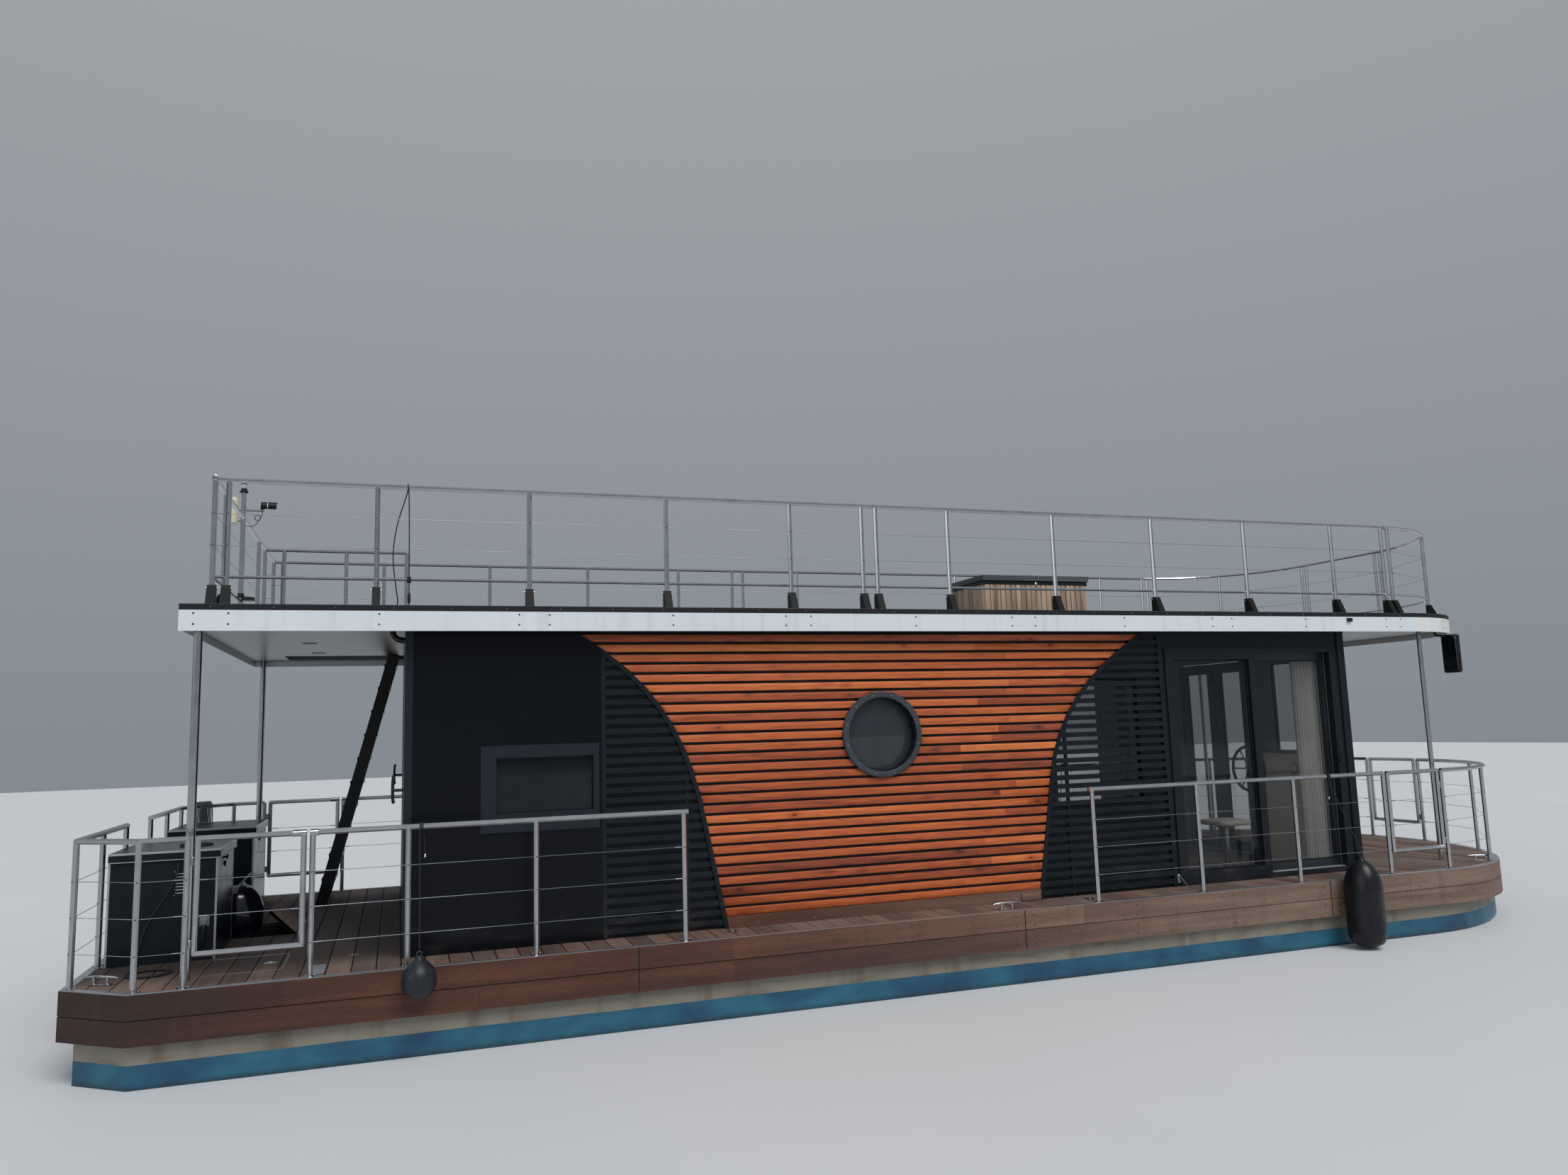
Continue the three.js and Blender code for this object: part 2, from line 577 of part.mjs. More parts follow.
// Aft terrace rail with the guard beside the stair opening
function terraceAft() {
  const end = terrace.y - terrace.tube - 1;
  const guard = { y: 1221, fore: -4973 };
  const posts = [-1500, 700, guard.y].map((y) => [terrace.aft, y, 270]);
  const across = terraceRail([[terrace.aft, -end], [terrace.aft, end]], posts);
  const along = [[terrace.aft, guard.y], [guard.fore, guard.y]];
  const parts = [terrace.top, terrace.bar].map((z, i) => rod(
    [...along[0], z], [...along[1], z], i ? terrace.thin : terrace.tube,
  ));
  const guardPosts = [-6168, -5570, guard.fore].map((x) => [x, guard.y]);
  const uprights = railPosts(guardPosts, terrace.tube, terraceLow, terrace.top);
  return join(across, ...parts, ...uprights, ...mastGroup());
}
add('terrace_rail_aft', terraceAft(), 'steel');

// Steep stair from the aft deck up through the roof
const stair = {
  footX: -5750, headX: -5053, deep: 57, near: 1335, far: 1880, thick: 30, steps: 10, tread: 130,
};
function stairFlight() {
  const low = railLow;
  const lean = (z) => stair.footX + ((stair.headX - stair.footX) * (z - low)) / (roof.top - low);
  const side = [
    [stair.footX - stair.deep, low], [stair.footX + stair.deep, low],
    [stair.headX + stair.deep, roof.top], [stair.headX - stair.deep, roof.top],
  ];
  const parts = [stair.near, stair.far - stair.thick].map((y) => sidePlate(side, y, y + stair.thick));
  for (let i = 1; i <= stair.steps; i += 1) {
    const z = low + (i * (roof.top - low)) / (stair.steps + 1);
    const x = lean(z);
    parts.push(box(x - stair.tread / 2, x + stair.tread / 2, stair.near + 5, stair.far - 5, z - 15, z + 15));
  }
  return join(...parts);
}
add('stair', stairFlight(), 'black');

// Stern lockers: open-topped boxes with lids hinged at the aft edge. Each has its own width.
const locker = { aft: -7100, fore: -6350, low: deckTop + gap, high: 1940, wall: 25, rim: 45, lid: 25 };
const lockers = { starboard: [-1279, -410], port: [1021, 2020] };
for (const [name, [y0, y1]] of Object.entries(lockers)) {
  const { aft, fore, low, high, wall: thick, rim, lid } = locker;
  add(`locker_${name}`, cut(
    box(aft, fore, y0, y1, low, high),
    box(aft + thick, fore - thick, y0 + thick, y1 - thick, low + thick, high + 10),
  ), 'locker');
  const over = play + 15;
  const top = high + play;
  add(`locker_lid_${name}`, cut(
    box(aft, fore + over, y0 - over, y1 + over, top - rim, top + lid),
    box(aft - 10, fore + play, y0 - play, y1 + play, top - rim - 10, top),
  ), 'locker');
}

// Flap over the fore part of the well, propped open at rest
const flap = { length: 300, thick: 24, open: 45, clear: 6 };
const flapGeometry = box(-flap.length, 0, -well.half + flap.clear, well.half - flap.clear, -flap.thick, 0);
flapGeometry.rotateY(THREE.MathUtils.degToRad(flap.open)).translate(well.fore - play, 0, deckTop);
add('well_flap', flapGeometry, 'deck');

// Outboard motor, drawn upright about its tilt axis and swung up to its rest position
const motor = { axisX: -6500, axisZ: 1000, tilt: 63, column: -120, pin: 12 };
const motorGroup = new THREE.Group();
motorGroup.position.set(motor.axisX, 0, motor.axisZ);
motorGroup.rotation.y = THREE.MathUtils.degToRad(motor.tilt);
boat.add(motorGroup);

const clamp = { half: 150, thick: 30, over: 18, aftLow: 700, foreLow: 800 };
const clampEar = { half: 28, thick: 25, low: -70, high: 25 };
function motorBracket() {
  const aft = well.transom - well.plate / 2;
  const fore = well.transom + well.plate / 2;
  const { half, thick, over, aftLow, foreLow } = clamp;
  const top = well.transomTop + over;
  const ear = box(-clampEar.half, clampEar.half, -half, clampEar.thick - half, clampEar.low, clampEar.high);
  ear.translate(motor.axisX, 0, motor.axisZ);
  return join(
    box(aft - thick, aft - gap, -half, half, aftLow, top),
    box(aft - thick, fore + thick, -half, half, well.transomTop + gap, top),
    box(fore + gap, fore + thick, -half, half, foreLow, top),
    ear, acrossCentre(ear),
    drum(0, 0, 0, motor.pin, -half, half, 12).translate(motor.axisX, 0, motor.axisZ),
  );
}
add('motor_bracket', motorBracket(), 'black');

const swivel = { hub: 30, hubHalf: 115, webHalf: 45, webLow: -32, webHigh: 22, bore: 25, boreHalf: 60 };
const swivelColumn = { radius: 28, low: -300, high: 50 };
function motorSwivel() {
  const { hub, hubHalf, webHalf, webLow, webHigh, bore, boreHalf } = swivel;
  const { radius, low, high } = swivelColumn;
  const web = cut(
    box(motor.column, 0, -webHalf, webHalf, webLow, webHigh),
    drum(0, 0, 0, bore, -boreHalf, boreHalf, 16),
  );
  const column = rod([motor.column, 0, low], [motor.column, 0, high], radius, 12);
  return join(drum(0, 0, motor.pin + 1, hub, -hubHalf, hubHalf, 16), web, column);
}
add('motor_swivel', motorSwivel(), 'black', motorGroup);

// The hood is a side view and a cross view cut out of each other.
const shaft = { x: -330, z: -600, fore: 150, aft: 80, radius: 48 };
function motorHood() {
  const side = new THREE.Shape();
  side.moveTo(-400, 90);
  side.lineTo(20, 90);
  side.bezierCurveTo(70, 200, 50, 400, -80, 465);
  side.bezierCurveTo(-190, 510, -330, 490, -400, 410);
  side.bezierCurveTo(-440, 330, -430, 190, -400, 90);
  const half = [[0, -60], [110, -40], [165, 60], [165, 330], [120, 430], [0, 530]];
  const across = [...half, ...half.slice(1, -1).map(([y, z]) => [-y, z]).reverse()];
  return common(sidePlate(side, -200, 200), crossPlate(across, -500, 200));
}

// Plates below the hood, drawn in side view: outline and half their thickness
const legPlates = [
  [[[-351, shaft.z], [-232, shaft.z], [-200, -310], [-360, -310]], 22],
  [[[-330, -760], [-270, -760], [-210, shaft.z], [-360, shaft.z]], 8],
];
const waist = { x0: -360, x1: -165, half: 70, z0: -330, z1: 100 };
const splashPlate = { x0: -420, x1: -190, half: 90, z0: -470, z1: -455 };
const yoke = { x0: motor.column - 100, x1: motor.column + 35, half: 40 };
const yokeHeights = [[62, 95], [-345, -312]];

function motorBody() {
  const block = ({ x0, x1, half, z0, z1 }) => box(x0, x1, -half, half, z0, z1);
  const plates = legPlates.map(([outline, half]) => sidePlate(outline, -half, half));
  const pod = rod([shaft.x + shaft.fore, 0, shaft.z], [shaft.x - shaft.aft, 0, shaft.z], shaft.radius, 12);
  const yokes = yokeHeights.map(([z0, z1]) => block({ ...yoke, z0, z1 }));
  return join(motorHood(), block(waist), block(splashPlate), ...plates, pod, ...yokes);
}
add('motor', motorBody(), 'motor', motorGroup);

const screw = { hub: 38, long: 75, blades: 3, wide: 50, reach: 122, thick: 7, twist: 0.6 };
function propeller() {
  const hubFrom = shaft.x - shaft.aft - play;
  const parts = [rod([hubFrom, 0, 0], [hubFrom - screw.long, 0, 0], screw.hub, 12)];
  const { blades, thick, wide, reach, twist } = screw;
  for (let i = 0; i < blades; i += 1) {
    const blade = box(-thick, thick, -wide, wide, 0, reach).rotateZ(twist);
    parts.push(blade.translate(hubFrom - screw.long / 2, 0, 0).rotateX((i * 2 * Math.PI) / blades));
  }
  return join(...parts).translate(0, 0, shaft.z);
}
add('propeller', propeller(), 'black', motorGroup);

// Slatted box on the roof with its lid hinged to port
const chest = { x0: 1090, x1: 2410, half: 370, high: 4325, wall: 30, lid: 60, over: 25 };
add('roof_box', cut(
  box(chest.x0, chest.x1, -chest.half, chest.half, terraceLow, chest.high),
  box(chest.x0 + chest.wall, chest.x1 - chest.wall, chest.wall - chest.half, chest.half - chest.wall,
    terraceLow + chest.wall, chest.high + 10),
), 'slats');
add('roof_box_lid', box(chest.x0 - chest.over, chest.x1 + chest.over, -chest.half - chest.over,
  chest.half + chest.over, chest.high + play, chest.high + play + chest.lid), 'roofDark');

// Helm: console, wheel and stool
const helm = { x: 3850, y: -1122, z: 2170, radius: 240, rim: 16, shaft: 185, hub: 28, spokes: 6, spoke: 9 };
const desk = { y0: -1650, y1: -850, aft: 4050, fore: 4340, top: 2335, slopeAft: 4110, slopeLow: 2260 };
function helmConsole() {
  const { y0, y1, aft, fore, top, slopeAft, slopeLow } = desk;
  return sidePlate([[aft, railLow], [fore, railLow], [fore, top], [slopeAft, top], [aft, slopeLow]], y0, y1);
}
add('helm_console', helmConsole(), 'pale');

function helmWheel() {
  const rim = new THREE.TorusGeometry(helm.radius, helm.rim, 8, 24);
  const parts = [rim, rod([0, 0, -20], [0, 0, helm.shaft], helm.hub)];
  for (let i = 0; i < helm.spokes; i += 1) {
    const turn = (i * 2 * Math.PI) / helm.spokes;
    const end = [helm.radius * Math.cos(turn), helm.radius * Math.sin(turn), 0];
    parts.push(rod([0, 0, 0], end, helm.spoke, 6));
  }
  const wheel = join(...parts).rotateY(Math.PI / 2);
  return wheel.translate(helm.x, helm.y, helm.z);
}
add('helm_wheel', helmWheel(), 'black');

const seat = { x: 3450, y: -1150, half: 210, low: 1570, top: 1650, column: 40, foot: 170, footTop: 1150 };
function stool() {
  const { x, y, half, low, top, column, foot, footTop } = seat;
  return join(
    rod([x, y, railLow], [x, y, footTop], foot, 16),
    rod([x, y, railLow], [x, y, low + 10], column, 12),
    box(x - half, x + half, y - half, y + half, low, top),
  );
}
add('helm_stool', stool(), 'pale');

// Fenders lie against the deck edge. Each profile is a row of radius share and height.
const roundFender = [[0, 945], [0.55, 970], [0.95, 1030], [1, 1085], [0.85, 1140], [0.45, 1190], [0.2, 1215],
  [0.2, 1245], [0, 1250]];
const longFender = [[0, 520], [0.6, 545], [1, 640], [1, 1090], [0.85, 1200], [0.4, 1310], [0.2, 1330],
  [0.2, 1375], [0, 1380]];
const fenders = {
  fender_round: { x: -4870, radius: 122, side: -1, profile: roundFender },
  fender_long: { x: 3800, radius: 172, side: -1, profile: longFender },
  fender_far: { x: 3800, radius: 172, side: 1, profile: longFender },
};
for (const [name, { x, radius, side, profile }] of Object.entries(fenders)) {
  const points = profile.map(([share, z]) => new THREE.Vector2(share * radius, z));
  const body = new THREE.LatheGeometry(points, 16).rotateX(Math.PI / 2);
  add(name, body.translate(x, side * (hull.half + radius + 2), 0), 'black');
}

// Mirror on its arm below the near front corner of the roof
const mirrorBox = [6095, 6155, -1985, -1775, 3160, 3590];
const mirrorArm = [[6040, -1760, wall.top], [6040, -1760, 3600], [6125, -1880, 3560], [6125, -1880, 3480]];
add('mirror', join(...rods(mirrorArm, 12), box(...mirrorBox)), 'black');

export default boat;
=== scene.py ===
# Houseboat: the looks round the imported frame. Metres, X to the bow, Y to port, Z up.
import math

import bmesh
import bpy
from mathutils import Matrix, Vector


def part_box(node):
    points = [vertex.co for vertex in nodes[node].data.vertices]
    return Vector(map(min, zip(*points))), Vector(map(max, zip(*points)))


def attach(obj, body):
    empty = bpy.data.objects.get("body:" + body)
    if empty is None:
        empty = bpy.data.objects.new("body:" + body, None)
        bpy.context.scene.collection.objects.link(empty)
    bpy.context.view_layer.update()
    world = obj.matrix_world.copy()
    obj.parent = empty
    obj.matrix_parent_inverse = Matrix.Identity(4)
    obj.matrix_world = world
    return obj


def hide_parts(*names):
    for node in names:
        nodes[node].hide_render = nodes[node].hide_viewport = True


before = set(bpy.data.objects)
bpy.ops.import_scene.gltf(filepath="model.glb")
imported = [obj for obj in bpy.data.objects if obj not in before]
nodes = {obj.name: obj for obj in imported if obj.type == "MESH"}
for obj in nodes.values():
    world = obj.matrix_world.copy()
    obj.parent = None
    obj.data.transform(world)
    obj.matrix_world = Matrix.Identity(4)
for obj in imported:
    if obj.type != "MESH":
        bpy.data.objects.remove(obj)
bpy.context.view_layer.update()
print("frame loaded with", len(nodes), "nodes")

# The camera stands where the photo was taken from; the water's surface is at 0.5 m.
camera = {"spot": (-5.032, -11.052, 2.777), "yaw": 0.3388, "pitch": 0.1266, "roll": -0.0301, "lens": 25.21}
stage = {"water": 0.5, "reach": 60.0}


def aimCamera():
    yaw, pitch, roll = camera["yaw"], camera["pitch"], camera["roll"]
    ahead = Vector((math.sin(yaw) * math.cos(pitch), math.cos(yaw) * math.cos(pitch), math.sin(pitch)))
    level = Vector((math.cos(yaw), -math.sin(yaw), 0))
    up = level.cross(ahead)
    right = math.cos(roll) * level + math.sin(roll) * up
    top = -math.sin(roll) * level + math.cos(roll) * up
    data = bpy.data.cameras.new("camera")
    data.lens, data.sensor_width, data.sensor_fit = camera["lens"], 36, "HORIZONTAL"
    data.clip_end = 300
    made = bpy.data.objects.new("camera", data)
    bpy.context.scene.collection.objects.link(made)
    turn = Matrix((right, top, -ahead)).transposed().to_4x4()
    made.matrix_world = Matrix.Translation(camera["spot"]) @ turn
    bpy.context.scene.camera = made


aimCamera()


# Node trees: a wire is a socket that takes part in sums, and every node comes from Net.node.
class Wire:
    def __init__(self, net, socket):
        self.net, self.socket = net, socket

    def maths(self, operation, *values):
        return self.net.node("ShaderNodeMath", {"operation": operation}, dict(enumerate(values)))

    def __add__(self, other):
        return self.maths("ADD", self, other)

    __radd__ = __add__

    def __mul__(self, other):
        return self.maths("MULTIPLY", self, other)

    __rmul__ = __mul__

    def __sub__(self, other):
        return self.maths("SUBTRACT", self, other)

    def __rsub__(self, other):
        return self.maths("SUBTRACT", other, self)

    def __truediv__(self, other):
        return self.maths("DIVIDE", self, other)

    def __rtruediv__(self, other):
        return self.maths("DIVIDE", other, self)

    def __gt__(self, other):
        return self.maths("GREATER_THAN", self, other)

    def __lt__(self, other):
        return self.maths("LESS_THAN", self, other)

    def __mod__(self, other):
        return self.maths("FLOORED_MODULO", self, other)

    def __abs__(self):
        return self.maths("ABSOLUTE", self)

    def floor(self):
        return self.maths("FLOOR", self)

    def sine(self):
        return self.maths("SINE", self)

    def smooth(self, low, high):  # 0 below low, 1 above high
        return self.net.node("ShaderNodeMapRange", {"interpolation_type": "SMOOTHSTEP"},
                             {"Value": self, "From Min": low, "From Max": high})


class Net:
    def __init__(self, tree):
        self.tree = tree

    def node(self, kind, settings=None, sockets=None, out=0):
        made = self.tree.nodes.new(kind)
        for key, value in (settings or {}).items():
            if key == "stops":
                stops = made.color_ramp.elements
                while len(stops) < len(value):
                    stops.new(0.5)
                for stop, (place, colour) in zip(stops, value):
                    stop.position, stop.color = place, (*colour, 1)
            else:
                setattr(made, key, value)
        for key, value in (sockets or {}).items():
            if isinstance(value, Wire):
                self.tree.links.new(value.socket, made.inputs[key])
            else:
                made.inputs[key].default_value = value
        return Wire(self, made.outputs[out])


def tint(red, green, blue):  # a colour as a screen shows it, 0 to 255, turned into the shader's own
    return tuple(v / 12.92 if v <= 0.04045 else ((v + 0.055) / 1.055) ** 2.4 for v in
                 (red / 255, green / 255, blue / 255))


class Finish(Net):
    def __init__(self, name, **fixed):
        self.material = bpy.data.materials.new(name)
        self.material.use_nodes = True
        super().__init__(self.material.node_tree)
        self.shader = self.tree.nodes["Principled BSDF"]
        self.dress(**fixed)

    def dress(self, **values):
        for key, value in values.items():
            socket = self.shader.inputs[key.replace("_", " ")]
            if isinstance(value, Wire):
                self.tree.links.new(value.socket, socket)
            elif key == "Base_Color":
                socket.default_value = (*value, 1)
            else:
                socket.default_value = value
        return self

    def place(self, scale=(1, 1, 1), shift=(0, 0, 0)):
        spot = self.node("ShaderNodeTexCoord", out="Object")
        return self.node("ShaderNodeMapping", None, {"Vector": spot, "Scale": scale, "Location": shift})

    def axes(self):
        spot = self.node("ShaderNodeTexCoord", out="Object")
        return [self.node("ShaderNodeSeparateXYZ", None, {0: spot}, out) for out in (0, 1, 2)]

    def facing(self):
        normal = self.node("ShaderNodeNewGeometry", out="Normal")
        return [self.node("ShaderNodeSeparateXYZ", None, {0: normal}, out) for out in (0, 1, 2)]

    def noise(self, scale, detail=3, stretch=(1, 1, 1), shift=(0, 0, 0), rough=0.5):
        return self.node("ShaderNodeTexNoise", None, {
            "Vector": self.place(stretch, shift), "Scale": scale, "Detail": detail, "Roughness": rough})

    def chance(self, *values):  # a fixed random share for each whole-numbered place
        spot = self.node("ShaderNodeCombineXYZ", None, dict(enumerate(values)))
        return self.node("ShaderNodeTexWhiteNoise", None, {"Vector": spot}, "Value")

    def ramp(self, share, *stops):
        return self.node("ShaderNodeValToRGB", {"stops": stops}, {0: share})

    def mix(self, share, first, second, blend="MIX"):
        def full(colour):
            return colour if isinstance(colour, Wire) else (*colour, 1)
        return self.node("ShaderNodeMix", {"data_type": "RGBA", "blend_type": blend},
                         {0: share, 6: full(first), 7: full(second)}, 2)

    def bump(self, height, strength=0.3, distance=0.002):
        self.dress(Normal=self.node("ShaderNodeBump", None,
                                    {"Height": height, "Strength": strength, "Distance": distance}))
        return self


finishes = {}


def finish(name, **fixed):
    made = Finish(name, **fixed)
    finishes[name] = made.material
    return made


def wornPaint(name, colour, shade, rough=0.4, grain=0.02, dust=0.12, **fixed):
    made = finish(name, **{"Specular_IOR_Level": 0.35, **fixed})
    cloud = made.noise(1.7, 4)
    fine = made.noise(90, 2)
    base = made.mix(cloud.smooth(0.35, 0.7), colour, shade)
    dusty = made.facing()[2].smooth(0.2, 1) * cloud * dust
    made.dress(Base_Color=made.mix(dusty, base, tint(150, 146, 138)),
               Roughness=made.noise(6, 4) * 0.18 + (rough - 0.09))
    return made.bump(fine, grain, 0.001)


# Oiled boards of the timber field: grain along X, knots, and a tone for each board
def timberFinish():
    made = finish("oiledTimber")
    x, y, z = made.axes()
    board = ((z - boards["first"]) / boards["pitch"]).floor()
    tone = made.chance(board, y > 0, (x > jointLine(made, board, y)))
    drift = made.noise(1.1, 2, (0.35, 1, 4))
    shifted = made.node("ShaderNodeCombineXYZ", None, {0: x * 0.9 + tone * 37, 1: y * 9, 2: z * 17 + tone * 11})
    rings = made.node("ShaderNodeTexNoise", None, {"Vector": shifted, "Scale": 3.2, "Detail": 6, "Roughness": 0.62,
                                                  "Distortion": 0.5})
    fine = made.noise(34, 4, (0.22, 1, 3.4))
    knotField = made.node("ShaderNodeTexVoronoi", None, {"Vector": made.node("ShaderNodeCombineXYZ", None, {
        0: x * 2.9 + tone * 19, 1: y * 3, 2: z * 8}), "Scale": 1.0, "Randomness": 1.0}, "Distance")
    knot = 1 - knotField.smooth(0.03, 0.1)
    halo = 1 - knotField.smooth(0.06, 0.3)
    share = rings * 0.62 + fine * 0.22 + tone * 0.34 + drift * 0.22 - 0.2 - halo * 0.14
    colour = made.ramp(share, (0.16, tint(84, 36, 18)), (0.38, tint(148, 66, 30)), (0.58, tint(188, 94, 44)),
                       (0.82, tint(222, 130, 68)))
    colour = made.mix(knot * 0.85, colour, tint(52, 22, 14))
    made.dress(Base_Color=colour, Roughness=0.62 - share * 0.22)
    return made.bump(rings * 0.6 + fine * 0.5 - knot * 0.4, 0.35, 0.0016)


# Sizes of the timber boards, and where each meets its next length
boards = {"pitch": 0.085, "high": 0.062, "first": 1.2295, "count": 28, "back": 1.9503, "front": 1.98,
          "middle": -0.87, "long": 6.0, "backing": ((0.79, 1.9), (1.9504, 1.953), (1.93, 3.17))}
joint = {"from": -0.2, "to": 0.55, "wide": 0.003}


def jointLine(net, board, y):
    return net.chance(board, (y > 0) * 5 + 3, 2) * (joint["to"] - joint["from"]) + joint["from"]


def deckFinish():
    made = finish("deckComposite")
    x, y, z = made.axes()
    board = ((x - deck["joint"]) / deck["pitch"]).floor()
    tone = made.chance(board, 1, 1)
    streak = made.noise(5, 5, (4, 0.35, 1))
    speck = made.noise(160, 2, (1, 0.25, 1))
    grey = made.noise(0.9, 3).smooth(0.4, 0.72)
    share = streak * 0.6 + tone * 0.35 + speck * 0.3 - 0.1
    colour = made.ramp(share, (0.2, tint(60, 47, 42)), (0.5, tint(98, 76, 66)), (0.8, tint(134, 108, 94)))
    colour = made.mix(grey * 0.4, colour, tint(134, 120, 110))
    # Painted shadow of the roof: deck boards under its aft end are darkened towards the middle
    roofShadow = (1 - x.smooth(-5.3, -4.4)) * (1 - abs(y).smooth(1.5, 2.2)) * (z < 1.14)
    colour = made.mix(roofShadow * 0.86, colour, tint(20, 18, 19))
    groove = abs((x % 0.0075) - 0.00375)
    made.dress(Base_Color=colour, Roughness=0.66 + speck * 0.16)
    return made.bump(groove.smooth(0.0012, 0.0026) * 0.5 + speck * 0.4, 0.4, 0.0014)


deck = {"pitch": 0.1708, "gap": 0.008, "thick": 0.024, "wide": 5.2, "top": 1.13, "joint": -5.332, "first": -7.1254,
        "count": 85}


def edgeFinish():
    made = finish("edgeComposite")
    x, y, z = made.axes()
    length = ((x + 9) / 3.25).floor()
    tone = made.chance(length, z > 0.962, y > 0)
    streak = made.noise(3, 6, (0.3, 1, 5))
    speck = made.noise(120, 3, (0.2, 0.6, 1))
    pale = (x + made.noise(0.6, 2) * 3).smooth(-1.8, 6.8)
    share = streak * 0.55 + tone * 0.22 + speck * 0.35 - 0.08
    red = made.ramp(share, (0.2, tint(40, 20, 12)), (0.5, tint(72, 38, 24)), (0.8, tint(104, 60, 40)))
    grey = made.ramp(share, (0.2, tint(94, 76, 66)), (0.5, tint(136, 114, 100)), (0.8, tint(172, 152, 136)))
    colour = made.mix(pale * 0.85, red, grey)
    # Painted shade: the edge boards darken towards the stern end
    colour = made.mix((1 - x.smooth(-7.0, -5.0)) * 0.65, colour, tint(24, 13, 9))
    drip = made.noise(9, 4, (1, 1, 0.12)).smooth(0.55, 0.75)
    colour = made.mix(drip * 0.35, colour, tint(66, 50, 44))
    made.dress(Base_Color=colour, Roughness=0.6 + speck * 0.2)
    rib = (z * 420).sine()
    return made.bump(rib * 0.35 + speck * 0.6, 0.35, 0.0012)


def hullFinish():
    made = finish("hullPaint")
    z = made.axes()[2]
    wave = made.noise(2.5, 3, (1, 1, 0.3)) * 0.008
    level = z + wave - 0.004
    scuff = made.noise(5, 5, (0.5, 1, 2)).smooth(0.5, 0.72)
    grey = made.mix(made.noise(1.4, 3), tint(112, 108, 96), tint(142, 137, 122))
    grey = made.mix(scuff * 0.5, grey, tint(84, 76, 66))
    run = made.noise(7, 4, (1, 1, 0.06)).smooth(0.52, 0.72)
    grey = made.mix(run * 0.5, grey, tint(92, 70, 52))
    blue = made.mix(made.noise(3, 5, (0.6, 1, 1)).smooth(0.3, 0.7), tint(14, 62, 92), tint(36, 100, 122))
    colour = made.mix(level.smooth(0.662, 0.666), blue, grey)
    wet = 1 - (z + wave * 3).smooth(0.51, 0.56)
    colour = made.mix(wet * 0.7, colour, tint(26, 34, 34))
    made.dress(Base_Color=colour, Roughness=0.5 - wet * 0.3)
    return made.bump(made.noise(30, 4) + scuff, 0.12, 0.003)


def wallFinish():
    made = finish("cabinPaint", Specular_IOR_Level=0.16)
    x, y, z = made.axes()
    inside = (abs(y) < 1.886) * (x > -4.925) * (x < 4.416)
    cloud = made.noise(0.8, 3)
    flush = (x < -3.46) * (abs(y) > 1.9)
    dark = made.mix(cloud, tint(20, 24, 29), tint(28, 33, 39))
    navy = made.mix(cloud, tint(7, 10, 15), tint(12, 15, 22))
    strip = (x < -4.93) * (abs(y) > 1.9)
    frameArea = (x > 2.16) * (abs(y) > 1.952) * (x < 4.3)
    colour = made.mix(flush, dark, navy)
    colour = made.mix(strip, colour, tint(32, 38, 45))
    colour = made.mix(frameArea, colour, tint(28, 32, 38))
    casing = (x > -4.4162) * (x < -3.4828) * (z > 2.0188) * (z < 2.6992) * (abs(y) > 1.9505)
    colour = made.mix(casing, colour, tint(34, 40, 47))
    seam = 1 - abs(z - 2.715).smooth(0.0012, 0.0028)
    colour = made.mix(seam * flush * 0.7, colour, tint(8, 9, 12))
    dust = made.noise(12, 5, (0.4, 1, 1)).smooth(0.45, 0.8) * (1 - z.smooth(1.15, 1.6)) * (0.2 - flush * 0.12)
    colour = made.mix(dust, colour, tint(104, 98, 90))
    pale = made.mix(made.noise(2, 2), tint(142, 139, 132), tint(154, 151, 144))
    made.dress(Base_Color=made.mix(inside, colour, pale), Roughness=made.noise(4, 4) * 0.14 + 0.3 - flush * 0.12)
    return made.bump(made.noise(160, 2) * (1 - flush) + made.noise(2.2, 1) * flush * 0.5, 0.04, 0.002)


def steelFinish():
    made = finish("brushedSteel", Metallic=1.0)
    fine = made.noise(240, 2, (1, 1, 0.06))
    cloud = made.noise(9, 3)
    colour = made.mix(cloud, tint(158, 159, 161), tint(190, 191, 193))
    tea = made.noise(22, 4, (1, 1, 0.3)).smooth(0.62, 0.8) * 0.25
    made.dress(Base_Color=made.mix(tea, colour, tint(150, 120, 92)), Roughness=cloud * 0.12 + fine * 0.08 + 0.12)
    return made.bump(fine, 0.03, 0.0006)


def railFinish():  # terrace rails: the wedge brackets at the posts' feet are black
    made = finish("terraceSteel", Specular_IOR_Level=0.12)
    x, y, z = made.axes()
    cloud = made.noise(9, 3)
    steel = made.mix(cloud, tint(172, 174, 178), tint(204, 206, 210))
    foot = (z < 3.9465) * (z > 3.7)
    beside = abs(y + 0.499) < 0.05
    eye = beside * (x > -6.222) * (z > 4.8295) * (z < 4.9) * (x < -6.08)
    collar = beside * (z > 4.9775) * (z < 4.9865)
    fittings = foot + eye + collar
    black = fittings.maths("MINIMUM", fittings, 1)
    dome = beside * (x < -6.39) * (z > 4.7) * (z < 4.94)
    colour = made.mix(black, steel, tint(22, 24, 27))
    colour = made.mix(dome, colour, made.mix(cloud, tint(208, 200, 168), tint(222, 215, 186)))
    made.dress(Base_Color=colour, Metallic=1 - (black + dome),
               Roughness=cloud * 0.12 + 0.14 + black * 0.26 + dome * 0.2)
    return made.bump(made.noise(240, 2, (1, 1, 0.06)), 0.03, 0.0006)


def fasciaFinish():
    made = finish("fasciaPaint")
    x = made.axes()[0]
    streak = made.noise(14, 4, (1, 1, 0.1)).smooth(0.5, 0.8)
    colour = made.mix(made.noise(1.2, 2), tint(206, 214, 220), tint(220, 226, 230))
    front = x.smooth(5.30, 5.34)
    colour = made.mix(front * 0.5, colour, tint(226, 222, 214))
    colour = made.mix(streak * 0.22, colour, tint(150, 150, 146))
    made.dress(Base_Color=colour, Roughness=0.34 + streak * 0.1)
    return made.bump(made.noise(2.2, 2), 0.03, 0.004)


